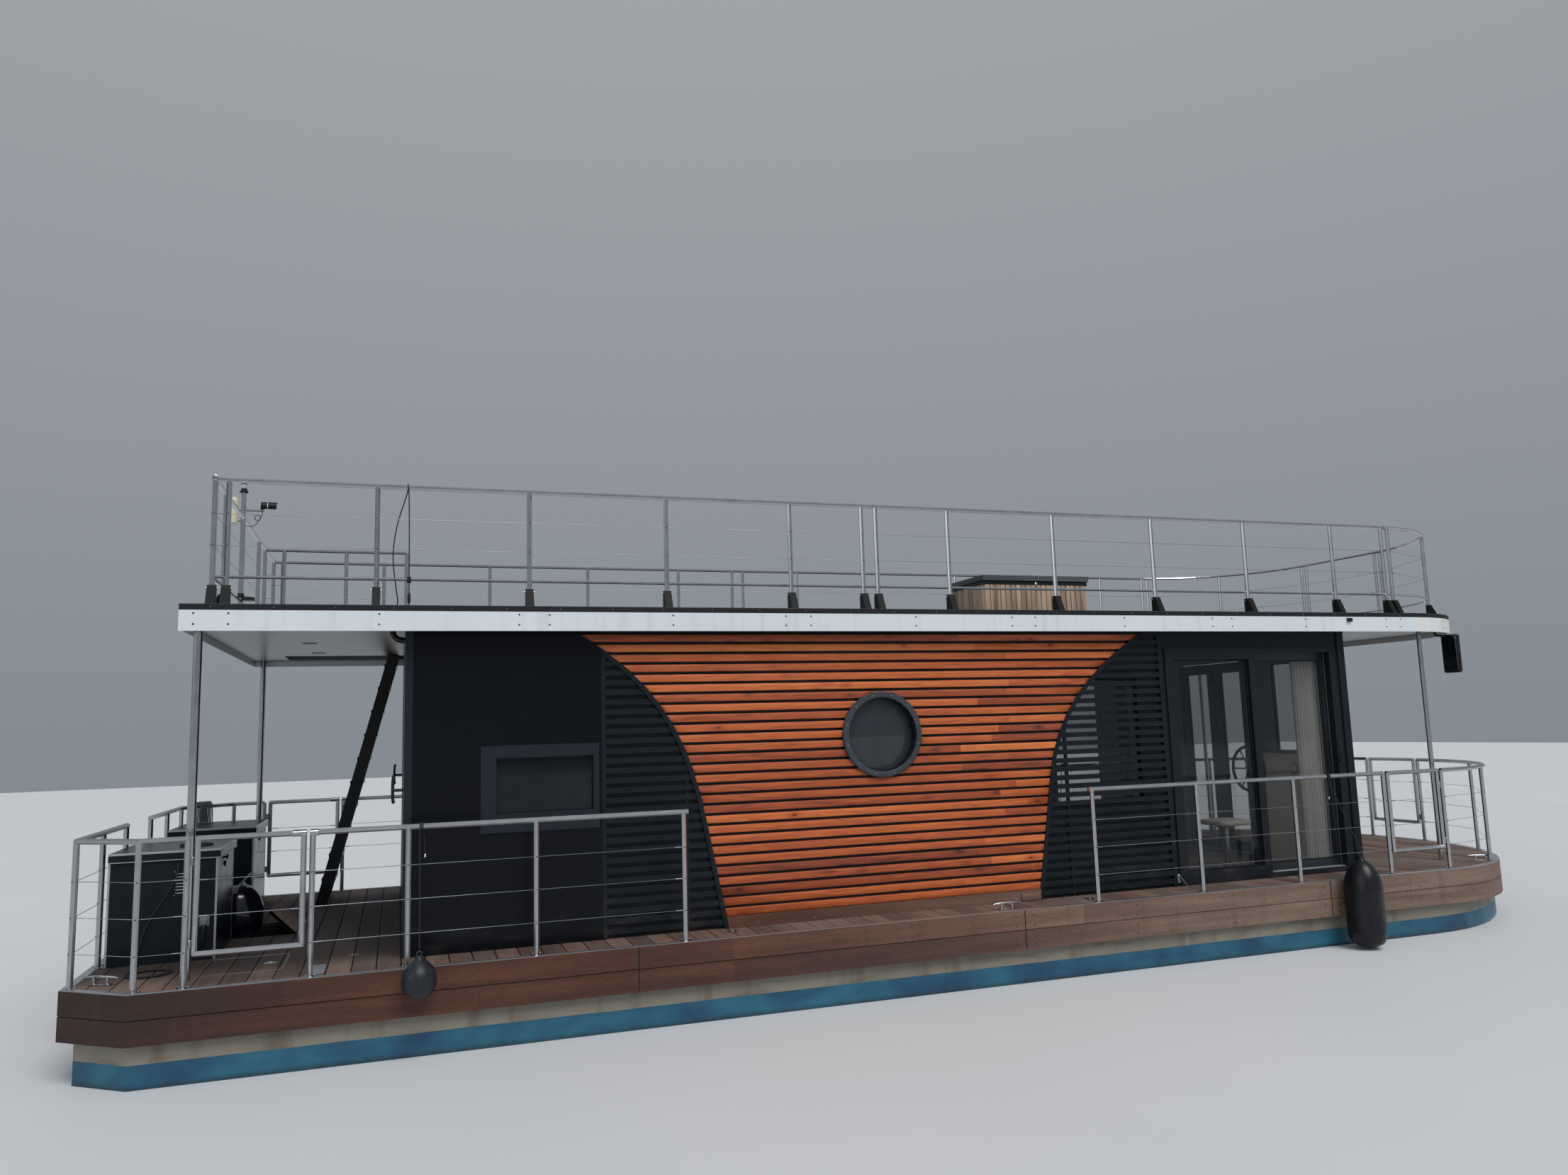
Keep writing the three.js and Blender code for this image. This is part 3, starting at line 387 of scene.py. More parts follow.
def roofFinish():
    made = finish("roofSkin", Specular_IOR_Level=0.25)
    x, y, z = made.axes()
    under = z < 3.66
    within = (abs(y) < 1.886) * (x > -4.92) * (x < 4.412)
    cloud = made.noise(1.6, 5)
    dark = made.mix(cloud, tint(44, 48, 52), tint(66, 70, 74))
    dirt = made.noise(0.9, 6).smooth(0.5, 0.7)
    dark = made.mix(dirt * 0.35, dark, tint(104, 102, 96))
    rim = z < 3.7935
    dark = made.mix(rim, dark, tint(26, 29, 33))
    # Painted shade: the pale soffit outside the cabin is given a dark grey
    soffitShade = made.mix(made.noise(1.2, 2), tint(44, 44, 46), tint(56, 56, 58))
    ceiling = tint(176, 173, 166)
    lower = made.mix(within, soffitShade, ceiling)
    made.dress(Base_Color=made.mix(under, dark, lower), Roughness=0.62 - under * (1 - within) * 0.32)
    return made.bump(made.noise(60, 4) * (1 - under), 0.12, 0.002)


def glassFinish(name, colour, alpha, shine=0.6):
    made = finish(name, IOR=1.5, Specular_IOR_Level=shine)
    smear = made.noise(1.3, 4)
    made.dress(Base_Color=made.mix(smear * 0.5, colour, tint(58, 66, 72)), Alpha=alpha + smear * 0.08,
               Roughness=0.02 + smear * 0.03)
    return made.bump(made.noise(0.9, 1), 0.02, 0.01)


def clothFinish(name, colour, shade, scale=700):
    made = finish(name, Sheen_Weight=0.3)
    weave = (made.axes()[2] * scale).sine() * 0.5 + (made.axes()[0] * scale).sine() * 0.5
    # Painted shading of folds: streaks down the cloth move it between its two tones
    foldShading = made.noise(5, 3, (1, 1, 0.2))
    made.dress(Base_Color=made.mix(foldShading, colour, shade), Roughness=0.85 + foldShading * 0.1)
    return made.bump(weave * 0.5 + 0.5, 0.05, 0.0008)


def slatWoodFinish():
    made = finish("slatWood")
    x, y = made.axes()[:2]
    tone = made.chance((x / 0.074).floor(), (y / 0.074).floor(), 4)
    grain = made.noise(30, 5, (1, 1, 0.1))
    share = grain * 0.6 + tone * 0.45
    made.dress(Base_Color=made.ramp(share, (0.2, tint(116, 97, 80)), (0.6, tint(168, 144, 122)),
                                    (0.9, tint(202, 180, 158))), Roughness=0.7 + grain * 0.1)
    return made.bump(grain, 0.3, 0.001)


def skinFinish(name, colour, shade, rough, worn=tint(88, 90, 92)):
    made = finish(name, Specular_IOR_Level=0.35)
    cloud = made.noise(5, 5)
    scuff = made.noise(22, 5, (1, 1, 0.5)).smooth(0.58, 0.8)
    made.dress(Base_Color=made.mix(scuff * 0.5, made.mix(cloud, colour, shade), worn),
               Roughness=rough + scuff * 0.25)
    return made.bump(made.noise(180, 2) + scuff, 0.08, 0.001)


def ropeFinish(name, colour, shade):
    made = finish(name)
    lay = made.noise(260, 3, (1, 1, 0.6))
    made.dress(Base_Color=made.mix(lay, colour, shade), Roughness=0.8 + lay * 0.1)
    return made.bump(lay, 0.5, 0.0012)


timberFinish()
deckFinish()
edgeFinish()
hullFinish()
wallFinish()
steelFinish()
railFinish()
fasciaFinish()
roofFinish()
slatWoodFinish()
glassFinish("tintedGlass", tint(22, 28, 33), 0.22)
glassFinish("smokedGlass", tint(4, 7, 10), 0.9, 0.18)
glassFinish("portholeGlass", tint(56, 60, 66), 0.5)
glassFinish("lensGlass", tint(216, 220, 222), 0.7)
clothFinish("curtainCloth", tint(196, 194, 188), tint(222, 220, 214))
clothFinish("portholeCloth", tint(88, 90, 96), tint(120, 122, 128), 420)
clothFinish("seatCloth", tint(206, 200, 188), tint(186, 180, 168), 500)
skinFinish("fenderSkin", tint(24, 28, 34), tint(36, 41, 48), 0.42)
skinFinish("fenderDark", tint(9, 11, 16), tint(16, 19, 25), 0.34, tint(44, 46, 50))
skinFinish("rubberBlack", tint(11, 12, 14), tint(20, 22, 24), 0.6, tint(46, 46, 46))
ropeFinish("darkRope", tint(18, 20, 24), tint(38, 40, 46))
ropeFinish("blueRope", tint(44, 50, 58), tint(82, 90, 100))
wornPaint("lockerPaint", tint(18, 22, 27), tint(26, 31, 37), 0.26, 0.005, 0.06, Specular_IOR_Level=0.14)
wornPaint("blackPaint", tint(13, 15, 18), tint(22, 24, 27), 0.42, 0.05, 0.1)
wornPaint("motorPaint", tint(8, 12, 24), tint(13, 18, 32), 0.16, 0.0, 0.06, Coat_Weight=0.5)
wornPaint("silverPaint", tint(150, 154, 158), tint(172, 176, 180), 0.35, 0.02, 0.1)
wornPaint("creamFinish", tint(214, 210, 200), tint(226, 223, 214), 0.4, 0.02, 0.05)
wornPaint("brownTop", tint(92, 66, 50), tint(112, 82, 62), 0.4, 0.05, 0.05)
wornPaint("frameGrey", tint(50, 56, 63), tint(60, 66, 73), 0.36, 0.03, 0.08)
wornPaint("doorPaint", tint(33, 38, 44), tint(42, 48, 55), 0.3, 0.03, 0.06)
wornPaint("whitePlastic", tint(222, 222, 216), tint(234, 233, 228), 0.35, 0.02, 0.1)
wornPaint("aluminium", tint(172, 176, 178), tint(190, 194, 196), 0.38, 0.04, 0.1, Metallic=0.9)
wornPaint("cabinFloor", tint(122, 104, 88), tint(142, 124, 106), 0.45, 0.05, 0.05)
wornPaint("wireSteel", tint(128, 132, 138), tint(160, 164, 168), 0.32, 0.02, 0.05, Metallic=0.8)
wornPaint("mirrorGlass", tint(150, 156, 162), tint(170, 176, 182), 0.1, 0.0, 0.02, Metallic=1.0)
wornPaint("greyPlastic", tint(104, 106, 116), tint(122, 124, 134), 0.4, 0.03, 0.1)
wornPaint("screwSteel", tint(150, 152, 154), tint(176, 178, 180), 0.34, 0.05, 0.1, Metallic=0.9)
wornPaint("darkScrew", tint(40, 36, 34), tint(58, 52, 48), 0.5, 0.05, 0.1)
print("finishes:", len(finishes))

# Finishes of the nodes that stay as they are
stays = {
    "hullPaint": ["pontoon_starboard", "pontoon_port"],
    "edgeComposite": ["skirt_bow", "skirt_starboard", "skirt_port"],
    "cabinPaint": ["cabin_wall_starboard", "cabin_wall_port", "cabin_wall_aft", "cabin_wall_bow"],
    "doorPaint": ["sliding_door_starboard", "sliding_door_port", "aft_door", "bow_door_starboard", "bow_door_port"],
    "deckComposite": ["deck_platform", "well_flap"],
    "oiledTimber": ["timber_cladding_starboard", "timber_cladding_port"],
    "roofSkin": ["roof_slab", "roof_box_lid"],
    "fasciaPaint": [name for name in nodes if name.startswith("roof_fascia")],
    "brushedSteel": [name for name in nodes if name.startswith(("roof_post", "deck_rail", "gate"))],
    "terraceSteel": [name for name in nodes if name.startswith("terrace_rail")],
    "blackPaint": ["stair", "motor_bracket", "motor_swivel", "propeller", "mirror", "helm_wheel"],
    "lockerPaint": [name for name in nodes if name.startswith("locker")],
    "motorPaint": ["motor"],
    "slatWood": ["roof_box"],
    "creamFinish": ["helm_console", "helm_stool"],
    "fenderSkin": ["fender_round", "fender_long", "fender_far"],
}
for name, members in stays.items():
    for member in members:
        mesh = nodes[member].data
        mesh.materials.clear()
        mesh.materials.append(finishes[name])


# Mesh work
def addMesh(name, mesh, coat=None, smooth=None):
    made = bpy.data.objects.new(name, mesh)
    bpy.context.scene.collection.objects.link(made)
    if coat:
        mesh.materials.clear()
        mesh.materials.append(finishes[coat])
    if smooth is not None:
        shadeBySteepness(mesh, smooth)
    return made


def shadeBySteepness(mesh, degrees):
    mesh.shade_smooth()
    if degrees < 180:
        mesh.set_sharp_from_angle(angle=math.radians(degrees))


def meshOf(build, *more):
    work = bmesh.new()
    build(work, *more)
    mesh = bpy.data.meshes.new("piece")
    work.to_mesh(mesh)
    work.free()
    return mesh


def block(work, low, high, bevel=0.0, steps=1):
    size = [h - l for l, h in zip(low, high)]
    middle = [(h + l) / 2 for l, h in zip(low, high)]
    move = Matrix.Translation(middle) @ Matrix.Diagonal((*size, 1))
    made = bmesh.ops.create_cube(work, size=1, matrix=move)
    if bevel:
        edges = {e for v in made["verts"] for e in v.link_edges}
        bmesh.ops.bevel(work, geom=list(edges), offset=bevel, segments=steps, affect="EDGES", profile=0.5)


def sideBlock(work, sign, x, y, z, bevel=0.0, steps=1):  # y is given for port and mirrored by the sign
    low, high = sorted((sign * y[0], sign * y[1]))
    block(work, (x[0], low, z[0]), (x[1], high, z[1]), bevel, steps)


def outward(work):
    bmesh.ops.recalc_face_normals(work, faces=work.faces)


def circle(count, start=0.0):  # cosine and sine of each step round
    turns = [start + 2 * math.pi * k / count for k in range(count)]
    return [(math.cos(t), math.sin(t)) for t in turns]


def skin(work, rings, lowEnd=True, highEnd=True):  # faces from ring to ring, and over the ends
    for a, b in zip(rings, rings[1:]):
        count = max(len(a), len(b))
        for k in range(count):
            n = (k + 1) % count
            ring = [a[k % len(a)], a[n % len(a)], b[n % len(b)], b[k % len(b)]]
            work.faces.new([v for i, v in enumerate(ring) if v not in ring[:i]])
    if lowEnd and len(rings[0]) > 1:
        work.faces.new(reversed(rings[0]))
    if highEnd and len(rings[-1]) > 1:
        work.faces.new(rings[-1])


def tube(work, points, radius, sides=10, closed=False):
    spots = [Vector(p) for p in points]
    count = len(spots)
    rings = []
    side = None
    for i, spot in enumerate(spots):
        before = spots[(i - 1) % count] if closed or i else spot
        after = spots[(i + 1) % count] if closed or i < count - 1 else spot
        along = (after - before).normalized()
        if side is None:
            side = along.orthogonal().normalized()
        side = (side - along * side.dot(along)).normalized()
        other = along.cross(side)
        size = radius[i] if isinstance(radius, (list, tuple)) else radius
        rings.append([work.verts.new(spot + size * (c * side + s * other)) for c, s in circle(sides)])
    skin(work, rings + rings[:1] if closed else rings, not closed, not closed)


def spin(work, profile, centre, axis="Z", sides=32):  # profile: radius and height, from the low pole up
    turn = {"Z": Matrix.Identity(3), "X": Matrix.Rotation(math.radians(90), 3, "Y"),
            "Y": Matrix.Rotation(math.radians(-90), 3, "X")}[axis]
    rings = []
    for radius, height in profile:
        around = circle(sides) if radius else [(0, 0)]
        rings.append([work.verts.new(Vector(centre) + turn @ Vector((radius * c, radius * s, height)))
                      for c, s in around])
    skin(work, rings)


def mergedCopy(name):
    mesh = nodes[name].data.copy()
    work = bmesh.new()
    work.from_mesh(mesh)
    bmesh.ops.remove_doubles(work, verts=work.verts, dist=1e-5)
    work.to_mesh(mesh)
    work.free()
    return mesh


def settled(made):  # the evaluated object as one plain mesh, with its modifiers gone
    graph = bpy.context.evaluated_depsgraph_get()
    mesh = bpy.data.meshes.new_from_object(made.evaluated_get(graph))
    made.modifiers.clear()
    made.data = mesh
    return made


def eased(made, width, steps=2):  # rounds the sharp edges for good
    ease = made.modifiers.new("ease", "BEVEL")
    ease.width, ease.segments, ease.limit_method = width, steps, "ANGLE"
    return settled(made)


def cutTo(made, node, coat):  # keeps what lies inside a node's own solid
    helper = bpy.data.objects.new("helper", mergedCopy(node))
    bpy.context.scene.collection.objects.link(helper)
    cutter = made.modifiers.new("within", "BOOLEAN")
    cutter.operation, cutter.object, cutter.solver = "INTERSECT", helper, "EXACT"
    settled(made)
    bpy.data.objects.remove(helper)
    for face in made.data.polygons:
        face.material_index = 0
    made.data.materials.clear()
    made.data.materials.append(finishes[coat])
    return made


# Geometry Nodes trees
class Grower(Net):
    def __init__(self, name, *inputs):
        group = bpy.data.node_groups.new(name, "GeometryNodeTree")
        super().__init__(group)
        group.interface.new_socket("Geometry", in_out="INPUT", socket_type="NodeSocketGeometry")
        group.interface.new_socket("Geometry", in_out="OUTPUT", socket_type="NodeSocketGeometry")
        self.names = {}
        for label, kind, value in inputs:
            socket = group.interface.new_socket(label, in_out="INPUT", socket_type="NodeSocket" + kind)
            if kind != "Material":
                socket.default_value = value
            self.names[label] = socket.identifier
        self.start = self.tree.nodes.new("NodeGroupInput")

    def given(self, label):
        return Wire(self, self.start.outputs[label])

    def end(self, geometry):
        real = self.node("GeometryNodeRealizeInstances", None, {0: geometry})
        dressed = self.node("GeometryNodeSetMaterial", None, {"Geometry": real, "Material": self.given("Coat")})
        close = self.tree.nodes.new("NodeGroupOutput")
        self.tree.links.new(dressed.socket, close.inputs[0])

    def grow(self, made, coat, **values):
        live = made.modifiers.new("grow", "NODES")
        live.node_group = self.tree
        live[self.names["Coat"]] = finishes[coat]
        for label, value in values.items():
            live[self.names[label.replace("_", " ")]] = value
        return settled(made)


def rowGrower():  # equal boxes in a row
    net = Grower("boardRow", ("Count", "Int", 10), ("Start", "Vector", (0, 0, 0)), ("Step", "Vector", (0.1, 0, 0)),
                 ("Size", "Vector", (1, 1, 1)), ("Coat", "Material", None))
    line = net.node("GeometryNodeMeshLine", {"mode": "OFFSET"}, {
        "Count": net.given("Count"), "Start Location": net.given("Start"), "Offset": net.given("Step")})
    cube = net.node("GeometryNodeMeshCube", None, {"Size": net.given("Size")})
    rows = net.node("GeometryNodeInstanceOnPoints", None, {"Points": line, "Instance": cube})
    net.end(rows)
    return net


def studGrower():  # a small head on every point, turned to the way it faces
    net = Grower("studs", ("Radius", "Float", 0.006), ("Height", "Float", 0.003), ("Sides", "Int", 8),
                 ("Coat", "Material", None))
    head = net.node("GeometryNodeMeshCone", None, {
        "Vertices": net.given("Sides"), "Radius Bottom": net.given("Radius"),
        "Radius Top": net.given("Radius") * 0.6, "Depth": net.given("Height")})
    way = net.node("GeometryNodeInputNamedAttribute", {"data_type": "FLOAT_VECTOR"}, {"Name": "facing"})
    turn = net.node("FunctionNodeAlignRotationToVector", {"axis": "Z"}, {"Vector": way})
    points = net.given("Geometry")
    heads = net.node("GeometryNodeInstanceOnPoints", None, {"Points": points, "Instance": head, "Rotation": turn})
    net.end(heads)
    return net


rows, studs = rowGrower(), studGrower()


def blank(name):
    return addMesh(name, bpy.data.meshes.new(name))


def studsAt(name, spots, coat, body="hull", radius=0.006, height=0.003, sides=8):
    mesh = bpy.data.meshes.new(name)
    mesh.from_pydata([spot for spot, way in spots], [], [])
    way = mesh.attributes.new("facing", "FLOAT_VECTOR", "POINT")
    for i, (spot, facing) in enumerate(spots):
        way.data[i].vector = facing
    made = studs.grow(addMesh(name, mesh), coat, Radius=radius, Height=height, Sides=sides)
    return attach(made, body)


def piece(name, build, coat, body="hull", smooth=35, *more):  # one named mesh, riding its body
    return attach(addMesh(name, meshOf(build, *more), coat, smooth), body)


bothSides = (("starboard", -1), ("port", 1))


# Timber boards, cut to the field between the arcs, over a foot of composite
def timberBoards():
    plinthTop = 1.2265
    for side, sign in bothSides:
        field = "timber_cladding_" + side
        depth = boards["front"] - boards["back"]
        middle = sign * (boards["front"] + boards["back"]) / 2
        made = rows.grow(blank("timberBoards_" + side), "oiledTimber", Count=boards["count"],
                         Start=(boards["middle"], middle, boards["first"] + boards["high"] / 2),
                         Step=(0, 0, boards["pitch"]), Size=(boards["long"], depth, boards["high"]))
        cutTo(eased(made, 0.007), field, "oiledTimber")
        shadeBySteepness(made.data, 40)
        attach(made, "hull")
        foot = mergedCopy(field)
        work = bmesh.new()
        work.from_mesh(foot)
        bmesh.ops.bisect_plane(work, geom=list(work.verts) + list(work.edges) + list(work.faces),
                               plane_co=(0, 0, plinthTop), plane_no=(0, 0, 1), clear_outer=True)
        bmesh.ops.holes_fill(work, edges=[e for e in work.edges if e.is_boundary])
        work.to_mesh(foot)
        work.free()
        plinth = addMesh("timberPlinth_" + side, foot, "edgeComposite", 30)
        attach(plinth, "hull")
        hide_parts(field)
        # A dark plate keeps the slatted window's light out of the gaps
        plate = addMesh("fieldBacking_" + side, meshOf(sideBlock, sign, *boards["backing"]), "blackPaint")
        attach(cutTo(plate, field, "blackPaint"), "hull")


timberBoards()
print("timber boards")


# Deck boards across the beam, over a base that keeps the well, its cheeks and the transom
def deckBoards():
    made = rows.grow(blank("deckBoards"), "deckComposite", Count=deck["count"],
                     Start=(deck["first"], 0, deck["top"] - deck["thick"] / 2), Step=(deck["pitch"], 0, 0),
                     Size=(deck["pitch"] - deck["gap"], deck["wide"], deck["thick"]))
    cutTo(eased(made, 0.002, 1), "deck_platform", "deckComposite")
    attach(made, "hull")
    base = mergedCopy("deck_platform")
    for corner in base.vertices:
        if corner.co.z > deck["top"] - 0.001:
            corner.co.z = deck["top"] - deck["thick"] - 0.0005
    under = addMesh("deckBase", base, "rubberBlack", 30)
    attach(under, "hull")
    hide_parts("deck_platform")


deckBoards()
print("deck boards")


# Panes in their gaskets, by lowest and highest corner
panes = {
    "hull": [
        ((0.82, -1.918, 1.95), (1.82, -1.910, 3.15)), ((2.275, -1.924, 1.26), (3.205, -1.914, 3.33)),
        ((0.82, 1.910, 1.95), (1.82, 1.918, 3.15)), ((2.275, 1.914, 1.26), (3.205, 1.924, 3.33)),
        ((4.44, -1.549, 1.33), (4.45, -0.949, 3.33)), ((4.44, 0.949, 1.33), (4.45, 1.549, 3.33)),
    ],
    "aft_windows": [((-4.30, -1.951, 2.17), (-3.53, -1.943, 2.60)), ((-4.30, 1.943, 2.17), (-3.53, 1.951, 2.60))],
    "sliding_door_starboard": [((3.30, -1.853, 1.255), (4.225, -1.843, 3.32))],
    "sliding_door_port": [((3.30, 1.843, 1.255), (4.225, 1.853, 3.32))],
    "bow_door_starboard": [((4.44, -0.492, 1.265), (4.45, -0.111, 3.285))],
    "bow_door_port": [((4.44, 0.111, 1.265), (4.45, 0.492, 3.285))],
    "aft_door": [((-4.959, -0.315, 2.06), (-4.949, 0.315, 3.085))],
}
gasket = {"wide": 0.012, "proud": 0.006}


def paneMesh(work, boxes):
    for low, high in boxes:
        block(work, low, high, 0.001)


def gasketMesh(work, boxes):
    wide, proud = gasket["wide"], gasket["proud"]
    for low, high in boxes:
        thin = min(range(3), key=lambda i: high[i] - low[i])
        a, b = [i for i in range(3) if i != thin]
        for edge in range(4):
            l, h = list(low), list(high)
            l[thin] -= proud
            h[thin] += proud
            axis, end = (a, b)[edge // 2], edge % 2
            if end:
                l[axis] = high[axis] - wide
            else:
                h[axis] = low[axis] + wide
            if axis == b:
                l[a] += wide
                h[a] -= wide
            block(work, l, h, 0.002)


for place, boxes in panes.items():
    smoked = place == "aft_windows"
    body = "hull" if smoked else place
    piece("glass_" + place, paneMesh, "smokedGlass" if smoked else "tintedGlass", body, None, boxes)
    piece("gasket_" + place, gasketMesh, "rubberBlack", body, 30, boxes)

# Portholes: radius and distance from the middle of the boat for the glass and for the ring round it
porthole = {"x": -0.95, "z": 2.69, "bolts": 12, "boltRing": 0.355, "boltFace": 2.0155, "glass": (
    (0, 1.936), (0.30, 1.930), (0.329, 1.92), (0.329, 1.908), (0, 1.908)), "ring": (
    (0.3295, 1.952), (0.3295, 2.0125), (0.334, 2.0150), (0.374, 2.0150), (0.3815, 2.0085), (0.3815, 1.982))}


def portholes():
    x, z, far = porthole["x"], porthole["z"], porthole["boltRing"]
    for side, sign in bothSides:
        lens = [(r, sign * out) for r, out in porthole["glass"]][::sign]
        piece("portholeGlass_" + side, spin, "portholeGlass", "hull", 40, lens, (x, 0, z), "Y", 48)

        def ringMesh(work):
            rings = [[work.verts.new((x + r * c, sign * out, z + r * s)) for c, s in circle(64)]
                     for r, out in porthole["ring"]]
            skin(work, rings + rings[:1], False, False)
            outward(work)
        piece("portholeRing_" + side, ringMesh, "frameGrey", "hull", 40)
        spots = [((x + far * c, sign * porthole["boltFace"], z + far * s), (0, sign, 0))
                 for c, s in circle(porthole["bolts"], math.pi / porthole["bolts"])]
        studsAt("portholeBolts_" + side, spots, "screwSteel", "hull", 0.008, 0.005, 10)


portholes()
print("glass")


# Rail wires between the posts: every run is a row of posts, and the port side mirrors it
def bowRim(y):
    return 5.3 + 1.88 * math.sqrt(1 - (y / 2.329) ** 2), y


def terraceTurn(degrees):
    turn = math.radians(degrees)
    return 5.09 + 1.5 * math.sin(turn), -0.558 - 1.5 * math.cos(turn)


def mirrored(run):
    return [(x, -y) for x, y in run]


deckRuns = [
    [(x, -2.329) for x in (-5.601, -4.95, -4.025, -2.867)],
    [(x, -2.329) for x in (0.968, 2.129, 3.291, 4.452)],
    [(-7.15, -0.479), (-7.15, -1.24), (-7.15, -1.992), (-6.7, -2.329), (-6.4, -2.329)],
    [(5.242, -2.329), bowRim(-2.129), bowRim(-1.399), bowRim(-0.389)],
]
sidePosts = [-6.35, -6.255, -5.209, -4.048, -2.91, -1.794, -1.105, -0.964, -0.237, 0.895, 2.039, 3.182, 4.339, 5.047]
terraceSide = [(x, -2.058) for x in sidePosts]
bowHalf = [(5.14, -2.058), terraceTurn(42), terraceTurn(87), terraceTurn(90)]
terraceRuns = [terraceSide, mirrored(terraceSide), bowHalf + mirrored(bowHalf)[::-1],
               [(-6.35, y) for y in (-2.058, -1.5, 0.7, 1.221, 2.058)],
               [(x, 1.221) for x in (-6.35, -6.168, -5.57, -4.973)]]
gates = {  # hinge post, upright beside it, far upright
    "gate_aft_starboard": ((-6.4, -2.329), (-6.341, -2.329), (-5.66, -2.329)),
    "gate_aft_port": ((-6.4, 2.329), (-6.341, 2.329), (-5.66, 2.329)),
    "gate_fore_starboard": ((5.242, -2.329), (5.183, -2.329), (4.511, -2.329)),
    "gate_fore_port": ((5.242, 2.329), (5.183, 2.329), (4.511, 2.329)),
    "gate_bow": ((7.1536, -0.389), (7.1536, -0.33), (7.1536, 0.33)),
}
wires = {"radius": 0.0022, "end": 0.0042, "endLong": 0.055, "deck": (1.365, 1.61, 1.855), "gate": (1.605, 1.848),
         "terrace": (4.247, 4.488), "post": 0.021}


def wireRuns(work, runs, heights):
    for run in runs:
        for z in heights:
            spots = [Vector((x, y, z)) for x, y in run]
            tube(work, spots, wires["radius"], 6)
            for spot, other in ((spots[0], spots[1]), (spots[-1], spots[-2])):
                way = (other - spot).normalized()
                tube(work, [spot + way * wires["post"], spot + way * (wires["post"] + wires["endLong"])],
                     wires["end"], 8)


def railWires():
    runs = deckRuns + [mirrored(run) for run in deckRuns]
    piece("deckWires", wireRuns, "wireSteel", "hull", 60, runs, wires["deck"])
    piece("terraceWires", wireRuns, "wireSteel", "hull", 60, terraceRuns, wires["terrace"])
    for name, uprights in gates.items():
        piece("wires_" + name, wireRuns, "wireSteel", name, 60, [uprights[1:]], wires["gate"])
    grommets = []
    for group, heights in ((runs, wires["deck"]), (terraceRuns, wires["terrace"])):
        for run in group:
            for (x, y), (toX, toY) in zip(run, run[1:] + run[-2:-1]):
                along = Vector((toX - x, toY - y, 0)).normalized()
                out = Vector((along.y, -along.x, 0))
                if out.dot(Vector((x * 0.3, y, 0))) < 0:
                    out = -out
                grommets += [(Vector((x, y, z)) + out * 0.0205, out) for z in heights]
    studsAt("wireNuts", grommets, "darkScrew", "hull", 0.0055, 0.004, 8)


railWires()


# Round feet under the deck posts, and the gates' hinges
hinge = {"heights": (1.416, 1.977), "pin": 0.0095, "tab": 0.005}


def bar(work, start, end, wide, tall):  # a flat bar between two points at one height
    a, b = Vector(start), Vector(end)
    along = (b - a).normalized()
    side = Vector((-along.y, along.x, 0)) * wide / 2
    up = Vector((0, 0, tall / 2))
    corners = [work.verts.new(p + s * side + t * up) for p in (a, b) for s in (-1, 1) for t in (-1, 1)]
    for face in ((0, 1, 3, 2), (4, 6, 7, 5), (0, 4, 5, 1), (2, 3, 7, 6), (0, 2, 6, 4), (1, 5, 7, 3)):
        work.faces.new([corners[i] for i in face])
    outward(work)


def hingeHalf(work, post, upright, onHull):
    a, b = Vector((*post, 0)), Vector((*upright, 0))
    middle = (a + b) / 2
    away = (a - b).normalized()
    for z in hinge["heights"]:
        spot = middle + Vector((0, 0, z))
        if onHull:
            spin(work, [(hinge["pin"], -0.024), (hinge["pin"], -0.001)], spot, "Z", 16)
            bar(work, spot + Vector((0, 0, -0.013)), spot + away * 0.014 + Vector((0, 0, -0.013)), hinge["tab"], 0.02)
            spin(work, [(0, -0.031), (0.008, -0.029), (0.011, -0.024), (0, -0.024)], spot, "Z", 12)
        else:
            spin(work, [(hinge["pin"], 0.001), (hinge["pin"], 0.024)], spot, "Z", 16)
            bar(work, spot + Vector((0, 0, 0.013)), spot - away * 0.014 + Vector((0, 0, 0.013)), hinge["tab"], 0.02)
            spin(work, [(0.011, 0.024), (0.008, 0.03), (0, 0.032)], spot, "Z", 12)


def railFittings():
    runs = deckRuns + [mirrored(run) for run in deckRuns]
    feet = sorted({(round(x, 3), round(y, 3)) for run in runs for x, y in run})
    up = (0, 0, 1)
    studsAt("postFeet", [((x, y, 1.1335), up) for x, y in feet], "brushedSteel", "hull", 0.044, 0.006, 24)
    bolts = [((x + 0.033 * math.cos(t), y + 0.033 * math.sin(t), 1.138), up) for x, y in feet
             for t in (0.5, 2.6, 4.7)]
    studsAt("postBolts", bolts, "screwSteel", "hull", 0.0055, 0.005, 6)
    for name, (post, near, _) in gates.items():
        piece("hingeFixed_" + name, hingeHalf, "screwSteel", "hull", 40, post, near, True)
        piece("hingeMoving_" + name, hingeHalf, "screwSteel", name, 40, post, near, False)


railFittings()
print("rail wires and fittings")


# White fascia: butt joints and screws, and the screws of the dark strip above it
fascia = {"face": 2.161, "low": 3.5995, "high": 3.7515, "rows": (3.648, 3.728), "gap": 0.0018, "lap": 0.034,
          "joints": (-6.34, -4.004, -1.772, 0.46, 2.744, 5.047), "pairs": (
              -6.45, -6.22, -5.182, -4.137, -3.899, -2.884, -1.89, -1.66, -0.65, 0.338, 0.584, 1.58, 2.624, 2.863,
              3.803, 4.898, 5.1), "turns": (24, 52, 80), "corner": (5.327, 0.861), "cornerRadius": 1.3012,
          "aft": -6.5462, "aftPairs": (-1.95, -0.98, 0, 0.98, 1.95), "fore": 6.6282, "forePairs": (-0.6, 0.6),
          "strip": 3.7745, "stripFirst": -6.34, "stripStep": 0.4215, "stripCount": 27}


